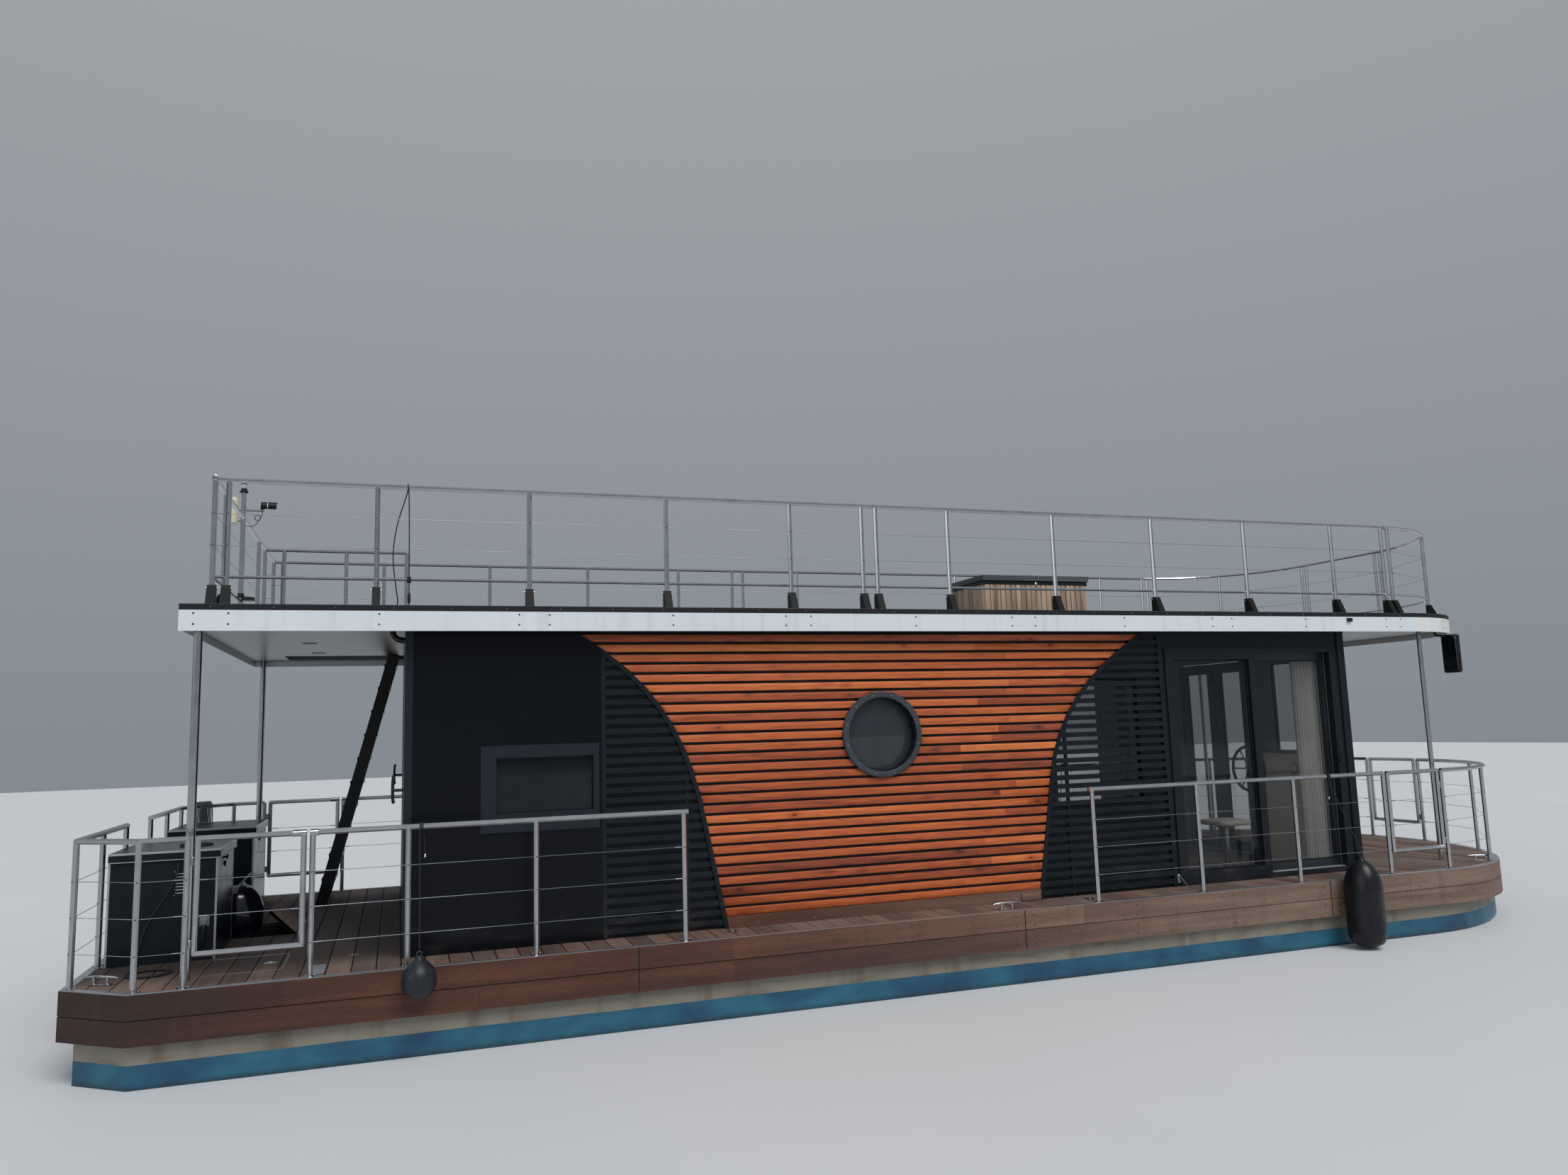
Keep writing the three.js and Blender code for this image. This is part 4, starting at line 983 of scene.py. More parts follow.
def fasciaJoints(work):
    face, gap, low, high = (fascia[key] for key in ("face", "gap", "low", "high"))
    for sign in (-1, 1):
        for x in fascia["joints"]:
            sideBlock(work, sign, (x - gap, x + gap), (face, face + 0.0006), (low, high))
            sideBlock(work, sign, (x + gap, x + fascia["lap"]), (face - 0.004, face + 0.0012),
                      (low - 0.0005, high), 0.0006)


def fasciaDetails():
    piece("fasciaJoints", fasciaJoints, "fasciaPaint")
    (x0, y0), levels, spots = fascia["corner"], fascia["rows"], []
    for sign in (-1, 1):
        spots += [((x, sign * (fascia["face"] + 0.001), z), (0, sign, 0)) for x in fascia["pairs"] for z in levels]
        for turn in fascia["turns"]:
            a = math.radians(turn)
            out = Vector((math.sin(a), sign * math.cos(a), 0))
            spots += [(Vector((x0, sign * y0, z)) + out * fascia["cornerRadius"], out) for z in levels]
    spots += [((fascia["aft"], y, z), (-1, 0, 0)) for y in fascia["aftPairs"] for z in levels]
    spots += [((fascia["fore"], y, z), (1, 0, 0)) for y in fascia["forePairs"] for z in levels]
    studsAt("fasciaScrews", spots, "darkScrew", "hull", 0.0075, 0.003, 8)
    rim = 0.0008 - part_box("roof_slab")[0][1]
    spots = [((fascia["stripFirst"] + i * fascia["stripStep"], sign * rim, fascia["strip"]), (0, sign, 0))
             for i in range(fascia["stripCount"]) for sign in (-1, 1)]
    studsAt("stripScrews", spots, "screwSteel", "hull", 0.0055, 0.003, 8)


fasciaDetails()

# Deck edge boards: butt joints, screws, and the aluminium strip on top
edge = {"face": 2.407, "low": 0.7955, "high": 1.1305, "joints": (-3.26, 0.153, 3.57), "gap": 0.0045,
        "rows": (0.838, 0.905, 1.0, 1.082), "screws": (
            -6.56, -5.558, -4.45, -3.352, -3.169, -2.04, -0.94, 0.062, 0.243, 1.317, 2.4, 3.48, 3.66, 4.72),
        "stripOut": 0.003, "stripIn": 0.066, "stripTop": 1.1332}


def skirtJoints(work):
    face, gap = edge["face"], edge["gap"]
    for sign in (-1, 1):
        for x in edge["joints"]:
            sideBlock(work, sign, (x - gap, x + gap), (face - 0.01, face + 0.0006), (edge["low"], edge["high"]))


def deckOutline(inset):  # from the well's starboard side round the bow to its port side
    half, stern = 2.407 - inset, -7.21 + inset
    points = [(stern, -0.386), (stern, -(2.407 - 0.388 - inset * 0.47)), (-7.21 + 0.48 + inset * 0.37, -half)]
    points += [(5.3 * i / 6 - 6.6 * (1 - i / 6), -half) for i in range(1, 6)]
    bow = [(5.3 + (1.91 - inset) * math.sin(a), -half * math.cos(a))
           for a in (math.radians(t) for t in range(0, 181, 5))]
    return points + bow + mirrored(points[::-1])


def edgeStrip(work):
    top = edge["stripTop"]
    outer, inner = deckOutline(edge["stripOut"]), deckOutline(edge["stripIn"])
    rings = [[work.verts.new((*p, z)) for p in line] for line, z in (
        (outer, 1.1302), (outer, top - 0.0008), (deckOutline(edge["stripOut"] + 0.0012), top),
        (deckOutline(edge["stripIn"] - 0.0012), top), (inner, 1.1302))]
    for a, b in zip(rings, rings[1:]):
        for i in range(len(a) - 1):
            work.faces.new((a[i], a[i + 1], b[i + 1], b[i]))
    for i in (0, -1):
        work.faces.new([ring[i] for ring in rings])
    outward(work)


def edgeDetails():
    piece("skirtJoints", skirtJoints, "rubberBlack")
    spots = [((x, sign * (edge["face"] + 0.0006), z), (0, sign, 0)) for sign in (-1, 1) for x in edge["screws"]
             for z in edge["rows"]]
    studsAt("skirtScrews", spots, "darkScrew", "hull", 0.0075, 0.002, 8)
    piece("deckEdgeStrip", edgeStrip, "aluminium", "hull", 40)


edgeDetails()
print("fascia and deck edge")

# Things on the deck: hatch with its ring, plate, drains, fillers and cleats
onDeck = {"hatch": (-6.369, -5.811, -1.96, -1.326), "ring": (-5.92, -1.66), "plate": (-5.61, -5.512, -2.29, -1.935),
          "drains": ((-5.335, -1.635), (-5.426, 1.388)), "fillers": ((-2.424, -2.129), (0.99, -2.165)),
          "cleats": ((0.05, -2.285, 0), (5.99, -2.07, -24), (-6.975, -1.935, -27)), "cleatLong": 0.27}


def hatchFrame(work):
    x0, x1, y0, y1 = onDeck["hatch"]
    for a, b, c, d in ((x0, x1, y0, y0 + 0.005), (x0, x1, y1 - 0.005, y1), (x0, x0 + 0.005, y0, y1),
                       (x1 - 0.005, x1, y0, y1)):
        block(work, (a, c, 1.1302), (b, d, 1.1316), 0.0004)
    x, y = onDeck["ring"]
    block(work, (x - 0.042, y - 0.03, 1.1302), (x + 0.042, y + 0.03, 1.1322), 0.0008)
    tube(work, [(x + 0.024 * c, y + 0.019 * s, 1.1345) for c, s in circle(20)], 0.0028, 8, True)
    for x, y in onDeck["drains"]:
        block(work, (x - 0.035, y - 0.006, 1.1302), (x + 0.035, y + 0.006, 1.1315), 0.0005)


def cleatMesh(work, x, y, turn, sign=1):
    long, before = onDeck["cleatLong"], set(work.verts)
    horn = [(-long / 2, 0.042), (-long * 0.42, 0.049), (-long * 0.25, 0.052), (0, 0.053), (long * 0.25, 0.052),
            (long * 0.42, 0.049), (long / 2, 0.042)]
    tube(work, [(a, 0, b) for a, b in horn], [0.005, 0.0085, 0.0105, 0.011, 0.0105, 0.0085, 0.005], 12)
    for foot in (-0.052, 0.052):
        spin(work, [(0.024, 0), (0.024, 0.004), (0.011, 0.01), (0.0095, 0.05)], (foot, 0, 0), "Z", 16)
    block(work, (-0.08, -0.022, 0), (0.08, 0.022, 0.004), 0.0015)
    place = Matrix.Translation((x, sign * y, 1.1335)) @ Matrix.Rotation(math.radians(sign * turn), 4, "Z")
    bmesh.ops.transform(work, matrix=place, verts=[v for v in work.verts if v not in before])


def deckThings():
    piece("hatchFrame", hatchFrame, "aluminium")
    x0, x1, y0, y1 = onDeck["plate"]
    piece("deckPlate", block, "greyPlastic", "hull", 40, (x0, y0, 1.1302), (x1, y1, 1.1345), 0.0015, 2)

    def fillers(work):
        for x, y in onDeck["fillers"]:
            spin(work, [(0.047, 0), (0.047, 0.003), (0.042, 0.0055), (0.036, 0.006), (0.034, 0.0042), (0.012, 0.0042),
                        (0.011, 0.006), (0, 0.006)], (x, y, 1.1304), "Z", 32)
    piece("fillerCaps", fillers, "brushedSteel", "hull", 30)

    def cleats(work):
        for x, y, turn in onDeck["cleats"]:
            cleatMesh(work, x, y, turn)
            cleatMesh(work, x, y, turn, -1)
        outward(work)
    piece("deckCleats", cleats, "brushedSteel", "hull", 50)


deckThings()
print("deck fittings")


# Cords: coarse points, smoothed, with a tube round them
def smoothLine(points, between=4):
    spots = [Vector(p) for p in points]
    spots = [2 * spots[0] - spots[1]] + spots + [2 * spots[-1] - spots[-2]]
    line = []
    for a, b, c, d in zip(spots, spots[1:], spots[2:], spots[3:]):
        for k in range(between):
            t = k / between
            line.append(0.5 * (2 * b + (c - a) * t + (2 * a - 5 * b + 4 * c - d) * t * t +
                               (3 * b - a - 3 * c + d) * t ** 3))
    return line + [spots[-2]]


def ringTurns(centre, across, up, radius, turns, rise, start=0.0, steps=14):  # turns of a coil about centre
    across, up = Vector(across), Vector(up)
    away = across.cross(up)
    points = []
    for k in range(int(turns * steps) + 1):
        t = start + 2 * math.pi * k / steps
        r = radius(k / steps) if callable(radius) else radius
        points.append(Vector(centre) + r * (math.cos(t) * across + math.sin(t) * up) + away * rise * k / steps)
    return points


cordNotes = []


def cordPiece(name, points, coat, diameter, body="hull", between=4):
    line = smoothLine(points, between)
    made = piece(name, tube, coat, body, 180, line, diameter / 2, 8)
    length = sum((b - a).length for a, b in zip(line, line[1:]))
    cordNotes.append((name, round(length, 2)))
    return made


# Fenders: lathed skins with an eye on top, each on its own line from the rail
fenders = {
    "round": {"spot": (-4.87, -2.531), "radius": 0.122, "replaces": "fender_round", "rail": (-4.872, -2.329),
              "skin": "fenderSkin", "shape": (
        (0, 0.945), (0.26, 0.9475), (0.5, 0.956), (0.74, 0.976), (0.91, 1.007), (0.985, 1.04), (1, 1.074),
        (0.97, 1.106), (0.88, 1.137), (0.72, 1.167), (0.52, 1.192), (0.36, 1.207), (0.25, 1.217), (0.21, 1.228),
        (0.2, 1.236), (0.13, 1.243), (0, 1.245))},
    "long": {"spot": (3.8, -2.581), "radius": 0.1705, "replaces": "fender_long", "rail": (3.72, -2.329),
             "skin": "fenderDark", "shape": (
        (0, 0.52), (0.3, 0.5225), (0.54, 0.531), (0.76, 0.551), (0.9, 0.58), (0.975, 0.62), (1, 0.66), (1.008, 0.668),
        (1, 0.676), (1, 1.054), (1.008, 1.062), (1, 1.07), (0.975, 1.12), (0.9, 1.18), (0.77, 1.235), (0.6, 1.28),
        (0.42, 1.312), (0.27, 1.327), (0.2, 1.337), (0.19, 1.352), (0.15, 1.367), (0, 1.372))},
}
fenders["far"] = {**fenders["long"], "spot": (3.8, 2.581), "replaces": "fender_far", "rail": (3.72, 2.329)}
line = {"diameter": 0.009, "tube": 0.021}


def fenderMesh(work, item):
    x, y = item["spot"]
    profile = [(share * item["radius"], z) for share, z in item["shape"]]
    spin(work, profile, (x, y, 0), "Z", 48)
    top = item["shape"][-1][1]
    tube(work, [(x + 0.017 * c, y, top + 0.006 + 0.017 * s) for c, s in circle(20)], 0.0075, 10, True)
    outward(work)


def fenderPieces():
    for name, item in fenders.items():
        made = piece("fenderBody_" + name, fenderMesh, item["skin"], "hull", 50, item)
        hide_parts(item["replaces"])
        (x, y), (railX, railY) = item["spot"], item["rail"]
        sign = -1 if y < 0 else 1
        top = item["shape"][-1][1] + 0.034
        rope = line["tube"] + line["diameter"] / 2 + 0.001
        turns = ringTurns((railX, railY, 2.13), (0, sign, 0), (0, 0, 1), rope, 2.5, sign * 0.0105)
        points = [(x, y, top), (x, y, top + 0.05)]
        points += [(x + (railX - x) * t, y + (railY + sign * rope - y) * t, top + 0.05 + (2.02 - top) * t)
                   for t in (0.2, 0.4, 0.6, 0.8, 0.94)]
        points += turns
        points += [(turns[-1].x + ahead, turns[-1].y - sign * inward, z) for ahead, inward, z in
                   ((0.002, 0, 2.09), (0.006, 0.001, 2.03), (0.011, 0.002, 1.96), (0.013, 0.002, 1.913))]
        tip = piece("lineTip_" + name, spin, "whitePlastic", "hull", 30, [(0.004, -0.012), (0.0055, -0.01),
                    (0.0055, 0.012), (0.004, 0.013)], points[-1], "Z", 12)
        cordPiece("fenderLine_" + name, points, "darkRope", line["diameter"])


fenderPieces()
print("fenders")


# Ropes and cables at the stern: a hank on the rail, a coil on the locker lid, a cable down to the deck
hank = {"rail": ((-7.15, 1.992, 0), (-6.7, 2.329, 0)), "along": 0.17, "pitch": 0.0135, "top": 2.13, "low": 1.88,
        "half": 0.048, "folds": 9}
lidCoil = {"centre": (-6.56, -0.93, 1.9735), "radius": 0.118, "layer": 0.012}
deckCoil = {"centre": (-6.72, -1.70, 1.14), "radius": 0.154, "bend": 0.034}
ropePitch = 0.0135


def sternCords():
    a, b = (Vector(spot) for spot in hank["rail"])
    along = (b - a).normalized()
    out = Vector((along.y, -along.x, 0))
    spot = a + along * hank["along"]
    points, top, low, r = [], hank["top"], hank["low"], hank["half"]
    for k in range(hank["folds"] * 20 + 7):  # a fold of six steps, four down, a fold, four up
        step, swell = k % 20, 0.0015 * math.sin(k * 1.7)
        move = spot + along * hank["pitch"] * k / 20
        if step % 10 < 6:
            turn = math.pi * (step % 10) / 6
            side, height = -r * math.cos(turn), r * math.sin(turn)
        else:
            side, height = r + swell, (low - top) * (step % 10 - 6) / 4
        side, height = (side, top + height) if step < 10 else (-side, low - height)
        points.append(move + out * side + Vector((0, 0, height)))
    last = points[-1]
    points += [last + Vector((0.002, 0, -0.06)), last + Vector((0.004, 0, -0.14)), last + Vector((0.004, 0, -0.24))]
    cordPiece("railHank", points, "blueRope", 0.011, between=2)

    across, up = (1, 0, 0), (0, 1, 0)
    coil = ringTurns(lidCoil["centre"], across, up, lambda k: lidCoil["radius"] - ropePitch * (k % 4), 4.6, 0.0)
    coil = [p + Vector((0, 0, lidCoil["layer"] * max(0, i / 14 - 3.7))) for i, p in enumerate(coil)]
    cordPiece("lidCoil", coil, "darkRope", 0.012, body="locker_lid_starboard", between=3)

    bend = deckCoil["bend"]
    points = [(-6.62, -1.281, 1.874)]
    points += [(-6.62, -1.283 - bend * math.sin(t), 1.874 - bend * (1 - math.cos(t))) for t in
               (math.radians(17 * k) for k in range(1, 6))]
    points += [(-6.6212, -1.3186, 1.827), (-6.626, -1.3195, 1.795), (-6.64, -1.3195, 1.75), (-6.668, -1.319, 1.69),
               (-6.72, -1.316, 1.60), (-6.79, -1.312, 1.48), (-6.836, -1.31, 1.38), (-6.864, -1.309, 1.27),
               (-6.873, -1.311, 1.215), (-6.874, -1.322, 1.176), (-6.874, -1.345, 1.152), (-6.874, -1.38, 1.1415),
               (-6.874, -1.43, 1.14), (-6.874, -1.50, 1.14), (-6.874, -1.58, 1.14), (-6.874, -1.645, 1.14)]
    points += ringTurns(deckCoil["centre"], across, up, lambda k: deckCoil["radius"] - ropePitch * k, 3.1, 0.0,
                        math.pi, 16)
    cordPiece("deckCable", points, "darkRope", 0.011, between=3)


sternCords()


# Terrace cable: up from the roof, over the top tube and down to its plug, tied at the lower bar
def terraceCable():
    top = [(-4.985, -2.058 + 0.026 * math.cos(t), 4.745 + 0.026 * math.sin(t)) for t in
           (0.2, 0.9, 1.57, 2.2, 2.9)]
    points = [(-5.053, -2.02, 3.801), (-5.053, -2.02, 3.86), (-5.065, -2.018, 3.95), (-5.082, -2.018, 4.08),
              (-5.09, -2.018, 4.22), (-5.075, -2.018, 4.38), (-5.045, -2.02, 4.52), (-5.012, -2.024, 4.63),
              (-4.99, -2.031, 4.71)]
    points += top
    points += [(-4.979, -2.0845, 4.69), (-4.975, -2.0845, 4.55), (-4.973, -2.084, 4.4), (-4.971, -2.083, 4.22),
               (-4.97, -2.082, 4.05), (-4.969, -2.081, 3.96), (-4.968, -2.08, 3.90)]
    clip = piece("cableClip", block, "rubberBlack", "hull", 40,
                 (-4.985, -2.093, 3.985), (-4.955, -2.04, 4.03), 0.004, 2)
    plug = piece("cablePlug", spin, "rubberBlack", "hull", 30, [
        (0.006, -0.045), (0.006, -0.03), (0.011, -0.02), (0.011, 0.02), (0.0085, 0.045), (0.004, 0.05)],
        (-4.968, -2.08, 3.855), "Z", 16)
    cordPiece("terraceCable", points, "darkRope", 0.009)


terraceCable()
print("cords", cordNotes)


# Mast: lantern, the camera's hood and band with its cable, and the small flood lamp
mast = {"spot": (-6.35, -0.499), "top": 4.9865, "camera": 4.866, "lantern": {
    "lanternBase": ("blackPaint", ((0.033, 0), (0.033, 0.004), (0.0265, 0.008), (0.0255, 0.026), (0.0235, 0.028))),
    "lanternGlass": ("lensGlass", ((0.0232, 0.028), (0.0236, 0.031), (0.0236, 0.044), (0.0242, 0.046),
                                   (0.0236, 0.048), (0.0236, 0.063), (0.0225, 0.068))),
    "lanternCap": ("blackPaint", ((0.0246, 0.0645), (0.0246, 0.070), (0.02, 0.0732), (0, 0.0734)))}}


def mastThings():
    (x, y), eye = mast["spot"], mast["camera"]
    for name, (coat, profile) in mast["lantern"].items():
        piece(name, spin, coat, "hull", 30, profile, (x, y, mast["top"]), "Z", 32)

    def hood(work):
        spin(work, [(0.0268, -0.005), (0.0275, 0.002), (0.0275, 0.118), (0.0262, 0.118), (0.0262, 0.03)],
             (-6.205, y, eye), "X", 32)
        block(work, (-6.21, y - 0.019, eye + 0.0255), (-6.078, y + 0.019, eye + 0.0295), 0.0015)
    piece("cameraHood", hood, "blackPaint", "hull", 35)
    piece("cameraBand", spin, "whitePlastic", "hull", 35,
          [(0.0277, 0), (0.0283, 0.001), (0.0283, 0.005), (0.0277, 0.006)], (-6.158, y, eye), "X", 32)
    piece("cameraLens", spin, "portholeGlass", "hull", 35,
          [(0.022, -0.006), (0.022, -0.002), (0.016, 0.0006), (0, 0)], (-6.0925, y, eye), "X", 28)

    def lamp(work):
        block(work, (-6.33, y - 0.048, 4.018), (-6.24, y + 0.048, 4.046), 0.006, 2)
        block(work, (-6.345, y - 0.012, 4.046), (-6.27, y + 0.012, 4.052), 0.001)
        spin(work, [(0.026, -0.02), (0.027, -0.018), (0.027, 0.018), (0.026, 0.02)], (x, y, 4.06), "Z", 24)
    piece("floodLamp", lamp, "blackPaint", "hull", 35)
    piece("floodGlass", block, "whitePlastic", "hull", 35,
          (-6.323, y - 0.041, 4.0155), (-6.247, y + 0.041, 4.0185), 0.001)
    points = [(-6.198, y, 4.8115), (-6.199, y, 4.80), (-6.203, y, 4.785), (-6.207, y - 0.004, 4.77)]
    points += ringTurns((-6.235, y - 0.005, 4.757), (1, 0, 0), (0, 0, -1), 0.024, 1.1, 0.012, -0.15)
    points += [(-6.232, y + 0.009, 4.725), (-6.246, y + 0.008, 4.70), (-6.266, y + 0.006, 4.684),
               (-6.292, y + 0.003, 4.677), (-6.318, y, 4.679), (-6.332, y, 4.683)]
    cordPiece("cameraCable", points, "rubberBlack", 0.006)


mastThings()


# Curtains: gathered sheets in even folds, hung along X or Y
def curtain(name, axis, start, end, fixed, low, high, folds, deep, coat, slant=0.0):
    steps, levels = folds * 10, 10
    mesh = bpy.data.meshes.new(name)
    spots, faces, width = [], [], 0
    for j in range(levels + 1):
        down = j / levels
        line = []
        for i in range(steps + 1):
            share = i / steps
            along = start + (end - start) * share + slant * down * share ** 3
            wave = deep * (0.8 + 0.2 * math.sin(5 * share + 1)) * math.sin(2 * math.pi * folds * share)
            wave += 0.12 * deep * math.sin(17 * share + 4 * down)
            line.append((along, fixed + wave) if axis == "X" else (fixed + wave, along))
        width += sum(math.dist(a, b) for a, b in zip(line, line[1:])) / (levels + 1)
        spots += [(*p, high + (low - high) * down) for p in line]
    for j in range(levels):
        for i in range(steps):
            a = j * (steps + 1) + i
            faces.append((a, a + 1, a + steps + 2, a + steps + 1))
    mesh.from_pydata(spots, [], faces)
    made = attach(addMesh(name, mesh, coat, 180), "hull")
    round(high - low, 3)
    return made


curtains = {  # from, to, away from the middle, bottom, top, folds, their depth, cloth, and how far the end slants
    "doorCurtain_": (3.94, 4.27, 1.77, 1.18, 3.47, 9, 0.03, "curtainCloth"),
    "fixedCurtain_": (2.22, 2.36, 1.80, 1.18, 3.47, 4, 0.025, "curtainCloth"),
    "portholeCurtainAft_": (-1.36, -0.95, 1.862, 2.29, 3.1, 15, 0.009, "portholeCloth", -0.07),
    "portholeCurtainFore_": (-0.54, -0.95, 1.862, 2.29, 3.1, 15, 0.009, "portholeCloth", 0.07),
}
for side, sign in bothSides:
    for name, (start, end, away, *more) in curtains.items():
        curtain(name + side, "X", start, end, sign * away, *more)
for side, sign in bothSides:
    hung = sign * 1.5
    curtain("bowCurtain_" + side, "Y", hung - 0.12, hung + 0.12, 4.36, 1.2, 3.45, 6, 0.025, "curtainCloth")
print("curtains")


# Inside the cabin: floor, rails of the curtains, console top with its instrument, wheel, stool and a small table
helm = {"hub": (3.85, -1.122, 2.17), "rim": 0.24, "grip": 0.0165, "spokes": 6}
seat = {"spot": (3.45, -1.15), "half": 0.205, "low": 1.578, "high": 1.652}


def softSquare(x, y, half, z, size, corner):  # a square with round corners, drawn in or out at the corners
    ring = []
    for c, s in circle(96):
        r = half / (abs(c) ** 6 + abs(s) ** 6) ** (1 / 6)
        r *= size - corner * (1 - 8 * c * c * s * s)
        ring.append((x + r * c, y + r * s, z))
    return ring


def padMesh(work, x, y, half, low, high):  # crowned closed form whose sides pull in between the corners
    tall, lines = high - low, []
    for level in (0, 0.06, 0.2, 0.5, 0.8, 0.94, 1):
        bulge = math.sin(math.pi * level) ** 0.5 if 0 < level < 1 else 0
        z = low + tall * (0.16 + 0.68 * level)
        lines.append(softSquare(x, y, half, z, 0.93 + 0.07 * bulge, 0.02 * (1 - bulge)))
    rings = [[work.verts.new(p) for p in line] for line in lines]
    for shrink in (0.94, 0.8, 0.55, 0.25):
        rise = (1 - shrink ** 2) ** 0.6 * 0.16 * tall
        for line, lift in ((lines[-1], rise), (lines[0], -rise * 0.6)):
            ring = [work.verts.new((x + (px - x) * shrink, y + (py - y) * shrink, pz + lift)) for px, py, pz in line]
            rings = rings + [ring] if lift > 0 else [ring] + rings
    skin(work, rings)
    outward(work)


def pipingMesh(work, x, y, half, z):
    tube(work, softSquare(x, y, half, z, 0.99, 0.006), 0.0035, 6, True)


def insideThings():
    piece("cabinFloor", block, "cabinFloor", "hull", 30, (-4.915, -1.876, 1.1305), (4.405, 1.876, 1.1325))

    def tracks(work):
        for sign in (-1, 1):
            sideBlock(work, sign, (2.1, 4.35), (1.755, 1.80), (3.478, 3.5), 0.002)
            tube(work, [(-1.42, sign * 1.862, 3.12), (-0.48, sign * 1.862, 3.12)], 0.006, 10)
    piece("curtainTracks", tracks, "whitePlastic")
    piece("consoleTop", block, "brownTop", "hull", 30, (4.10, -1.655, 2.3355), (4.345, -0.845, 2.362), 0.006, 3)
    gauge = (4.0495, -1.57, 2.175)
    piece("gaugeRim", spin, "brushedSteel", "hull", 30,
          [(0.0478, -0.003), (0.048, -0.008), (0.054, -0.012), (0.06, -0.008), (0.062, 0)], gauge, "X", 40)
    piece("gaugeDial", spin, "whitePlastic", "hull", 30, [(0, -0.0035), (0.048, -0.0032)], gauge, "X", 40)
    ticks = [((4.0452, gauge[1] + 0.04 * c, gauge[2] + 0.04 * s), (-1, 0, 0)) for c, s in circle(12)]
    studsAt("gaugeTicks", ticks, "darkScrew", "hull", 0.0028, 0.001, 6)

    def controls(work):
        tube(work, [(4.0445, -1.57, 2.175), (4.0445, -1.552, 2.205)], 0.0018, 6)
        spin(work, [(0, -1.664), (0.008, -1.664), (0.012, -1.6615), (0.012, -1.6512)], (4.2, 0, 2.21), "Y", 20)
        block(work, (4.16, -1.0, 2.362), (4.27, -0.93, 2.398), 0.008, 2)
        tube(work, [(4.215, -0.965, 2.39), (4.2, -0.965, 2.45), (4.17, -0.965, 2.51)], [0.007, 0.006, 0.011], 12)
        outward(work)
    piece("helmControls", controls, "blackPaint", "hull", 40)

    x, y, z = helm["hub"]

    def rim(work):
        ring = [(x, y + helm["rim"] * c, z + helm["rim"] * s) for c, s in circle(72)]
        tube(work, ring, [helm["grip"] * (1 - 0.1 * (k % 4 == 0)) for k in range(72)], 12, True)

    def spokes(work):
        reach = [(0.03, 0.012), (0.09, 0.0085), (0.17, 0.0075), (0.228, 0.0095)]
        for c, s in circle(helm["spokes"]):
            path = [(x + 0.006 * (1 - r / helm["rim"]), y + r * c, z + r * s) for r, thick in reach]
            tube(work, path, [thick for r, thick in reach], 10)
        spin(work, [(0, -0.02), (0.03, -0.018), (0.046, -0.008), (0.048, 0.006), (0.034, 0.02), (0.026, 0.03),
                    (0.026, 0.184)], (x, y, z), "X", 32)
        outward(work)
    made = piece("wheelRim", rim, "rubberBlack", "helm_wheel", 60)
    piece("wheelSpokes", spokes, "brushedSteel", "helm_wheel", 40)
    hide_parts("helm_wheel")

    (x, y), half, low, high = (seat[key] for key in ("spot", "half", "low", "high"))
    pad = piece("stoolPad", padMesh, "seatCloth", "hull", 180, x, y, half, low, high)
    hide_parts("helm_stool")
    piece("stoolPiping", pipingMesh, "creamFinish", "hull", 180, x, y, half * 0.995, (low + high) / 2)
    piece("stoolStand", spin, "brushedSteel", "hull", 30, [
        (0.17, 1.1335), (0.17, 1.1385), (0.16, 1.144), (0.06, 1.152), (0.041, 1.17), (0.039, 1.19), (0.039, 1.36),
        (0.031, 1.365), (0.031, 1.545), (0.09, 1.556), (0.10, 1.574)], (x, y, 0), "Z", 40)
    piece("tableTop", block, "creamFinish", "hull", 30, (2.86, 0.30, 1.70), (3.36, 0.86, 1.728), 0.008, 3)
    piece("tableStand", spin, "brushedSteel", "hull", 30, [(0.19, 1.1335), (0.19, 1.139), (0.05, 1.15), (0.032, 1.17),
          (0.032, 1.68), (0.09, 1.694), (0.09, 1.7)], (3.11, 0.58, 0), "Z", 40)


insideThings()
print("inside of the cabin")


# Doors and walls: handles, tracks, hooks, lights under the roof; each path lies in one plane
wallFit = {
    "jambHandle": ((1.958, 2.252), (1.985, 2.256), (1.998, 2.275), (2.0, 2.345), (1.998, 2.415), (1.985, 2.436),
                   (1.958, 2.44)),
    "bowHandle": ((4.472, 2.29), (4.498, 2.294), (4.508, 2.31), (4.509, 2.37), (4.508, 2.43), (4.498, 2.446),
                  (4.472, 2.45)),
    "hook": ((-5.058, 2.285), (-5.066, 2.31), (-5.068, 2.384), (-5.066, 2.47), (-5.058, 2.501)), "hookOut": 1.93,
    "track": (3.31, 4.262), "rails": (1.893, 1.916, 1.939),
    "sash": ((-4.372, -3.505, 2.60, 2.676), (-4.372, -3.505, 2.092, 2.17), (-4.372, -4.30, 2.17, 2.60),
             (-3.53, -3.505, 2.17, 2.60)),
    "catch": ((1.966, 2.30), (1.979, 2.305), (1.982, 2.36), (1.98, 2.43)),
    "pipe": ((-5.085, 3.654), (-5.085, 3.62), (-5.075, 3.585), (-5.045, 3.558), (-4.99, 3.546)), "pipeOut": -1.87,
    "strips": (-3.4425, 2.0975), "plinth": (-2.15, -1.649, -0.926, -0.207, 0.32), "lights": (-0.31, 0.89),
}


def bentBar(work, points, radius):
    tube(work, smoothLine(points, 3), radius, 12)
    outward(work)


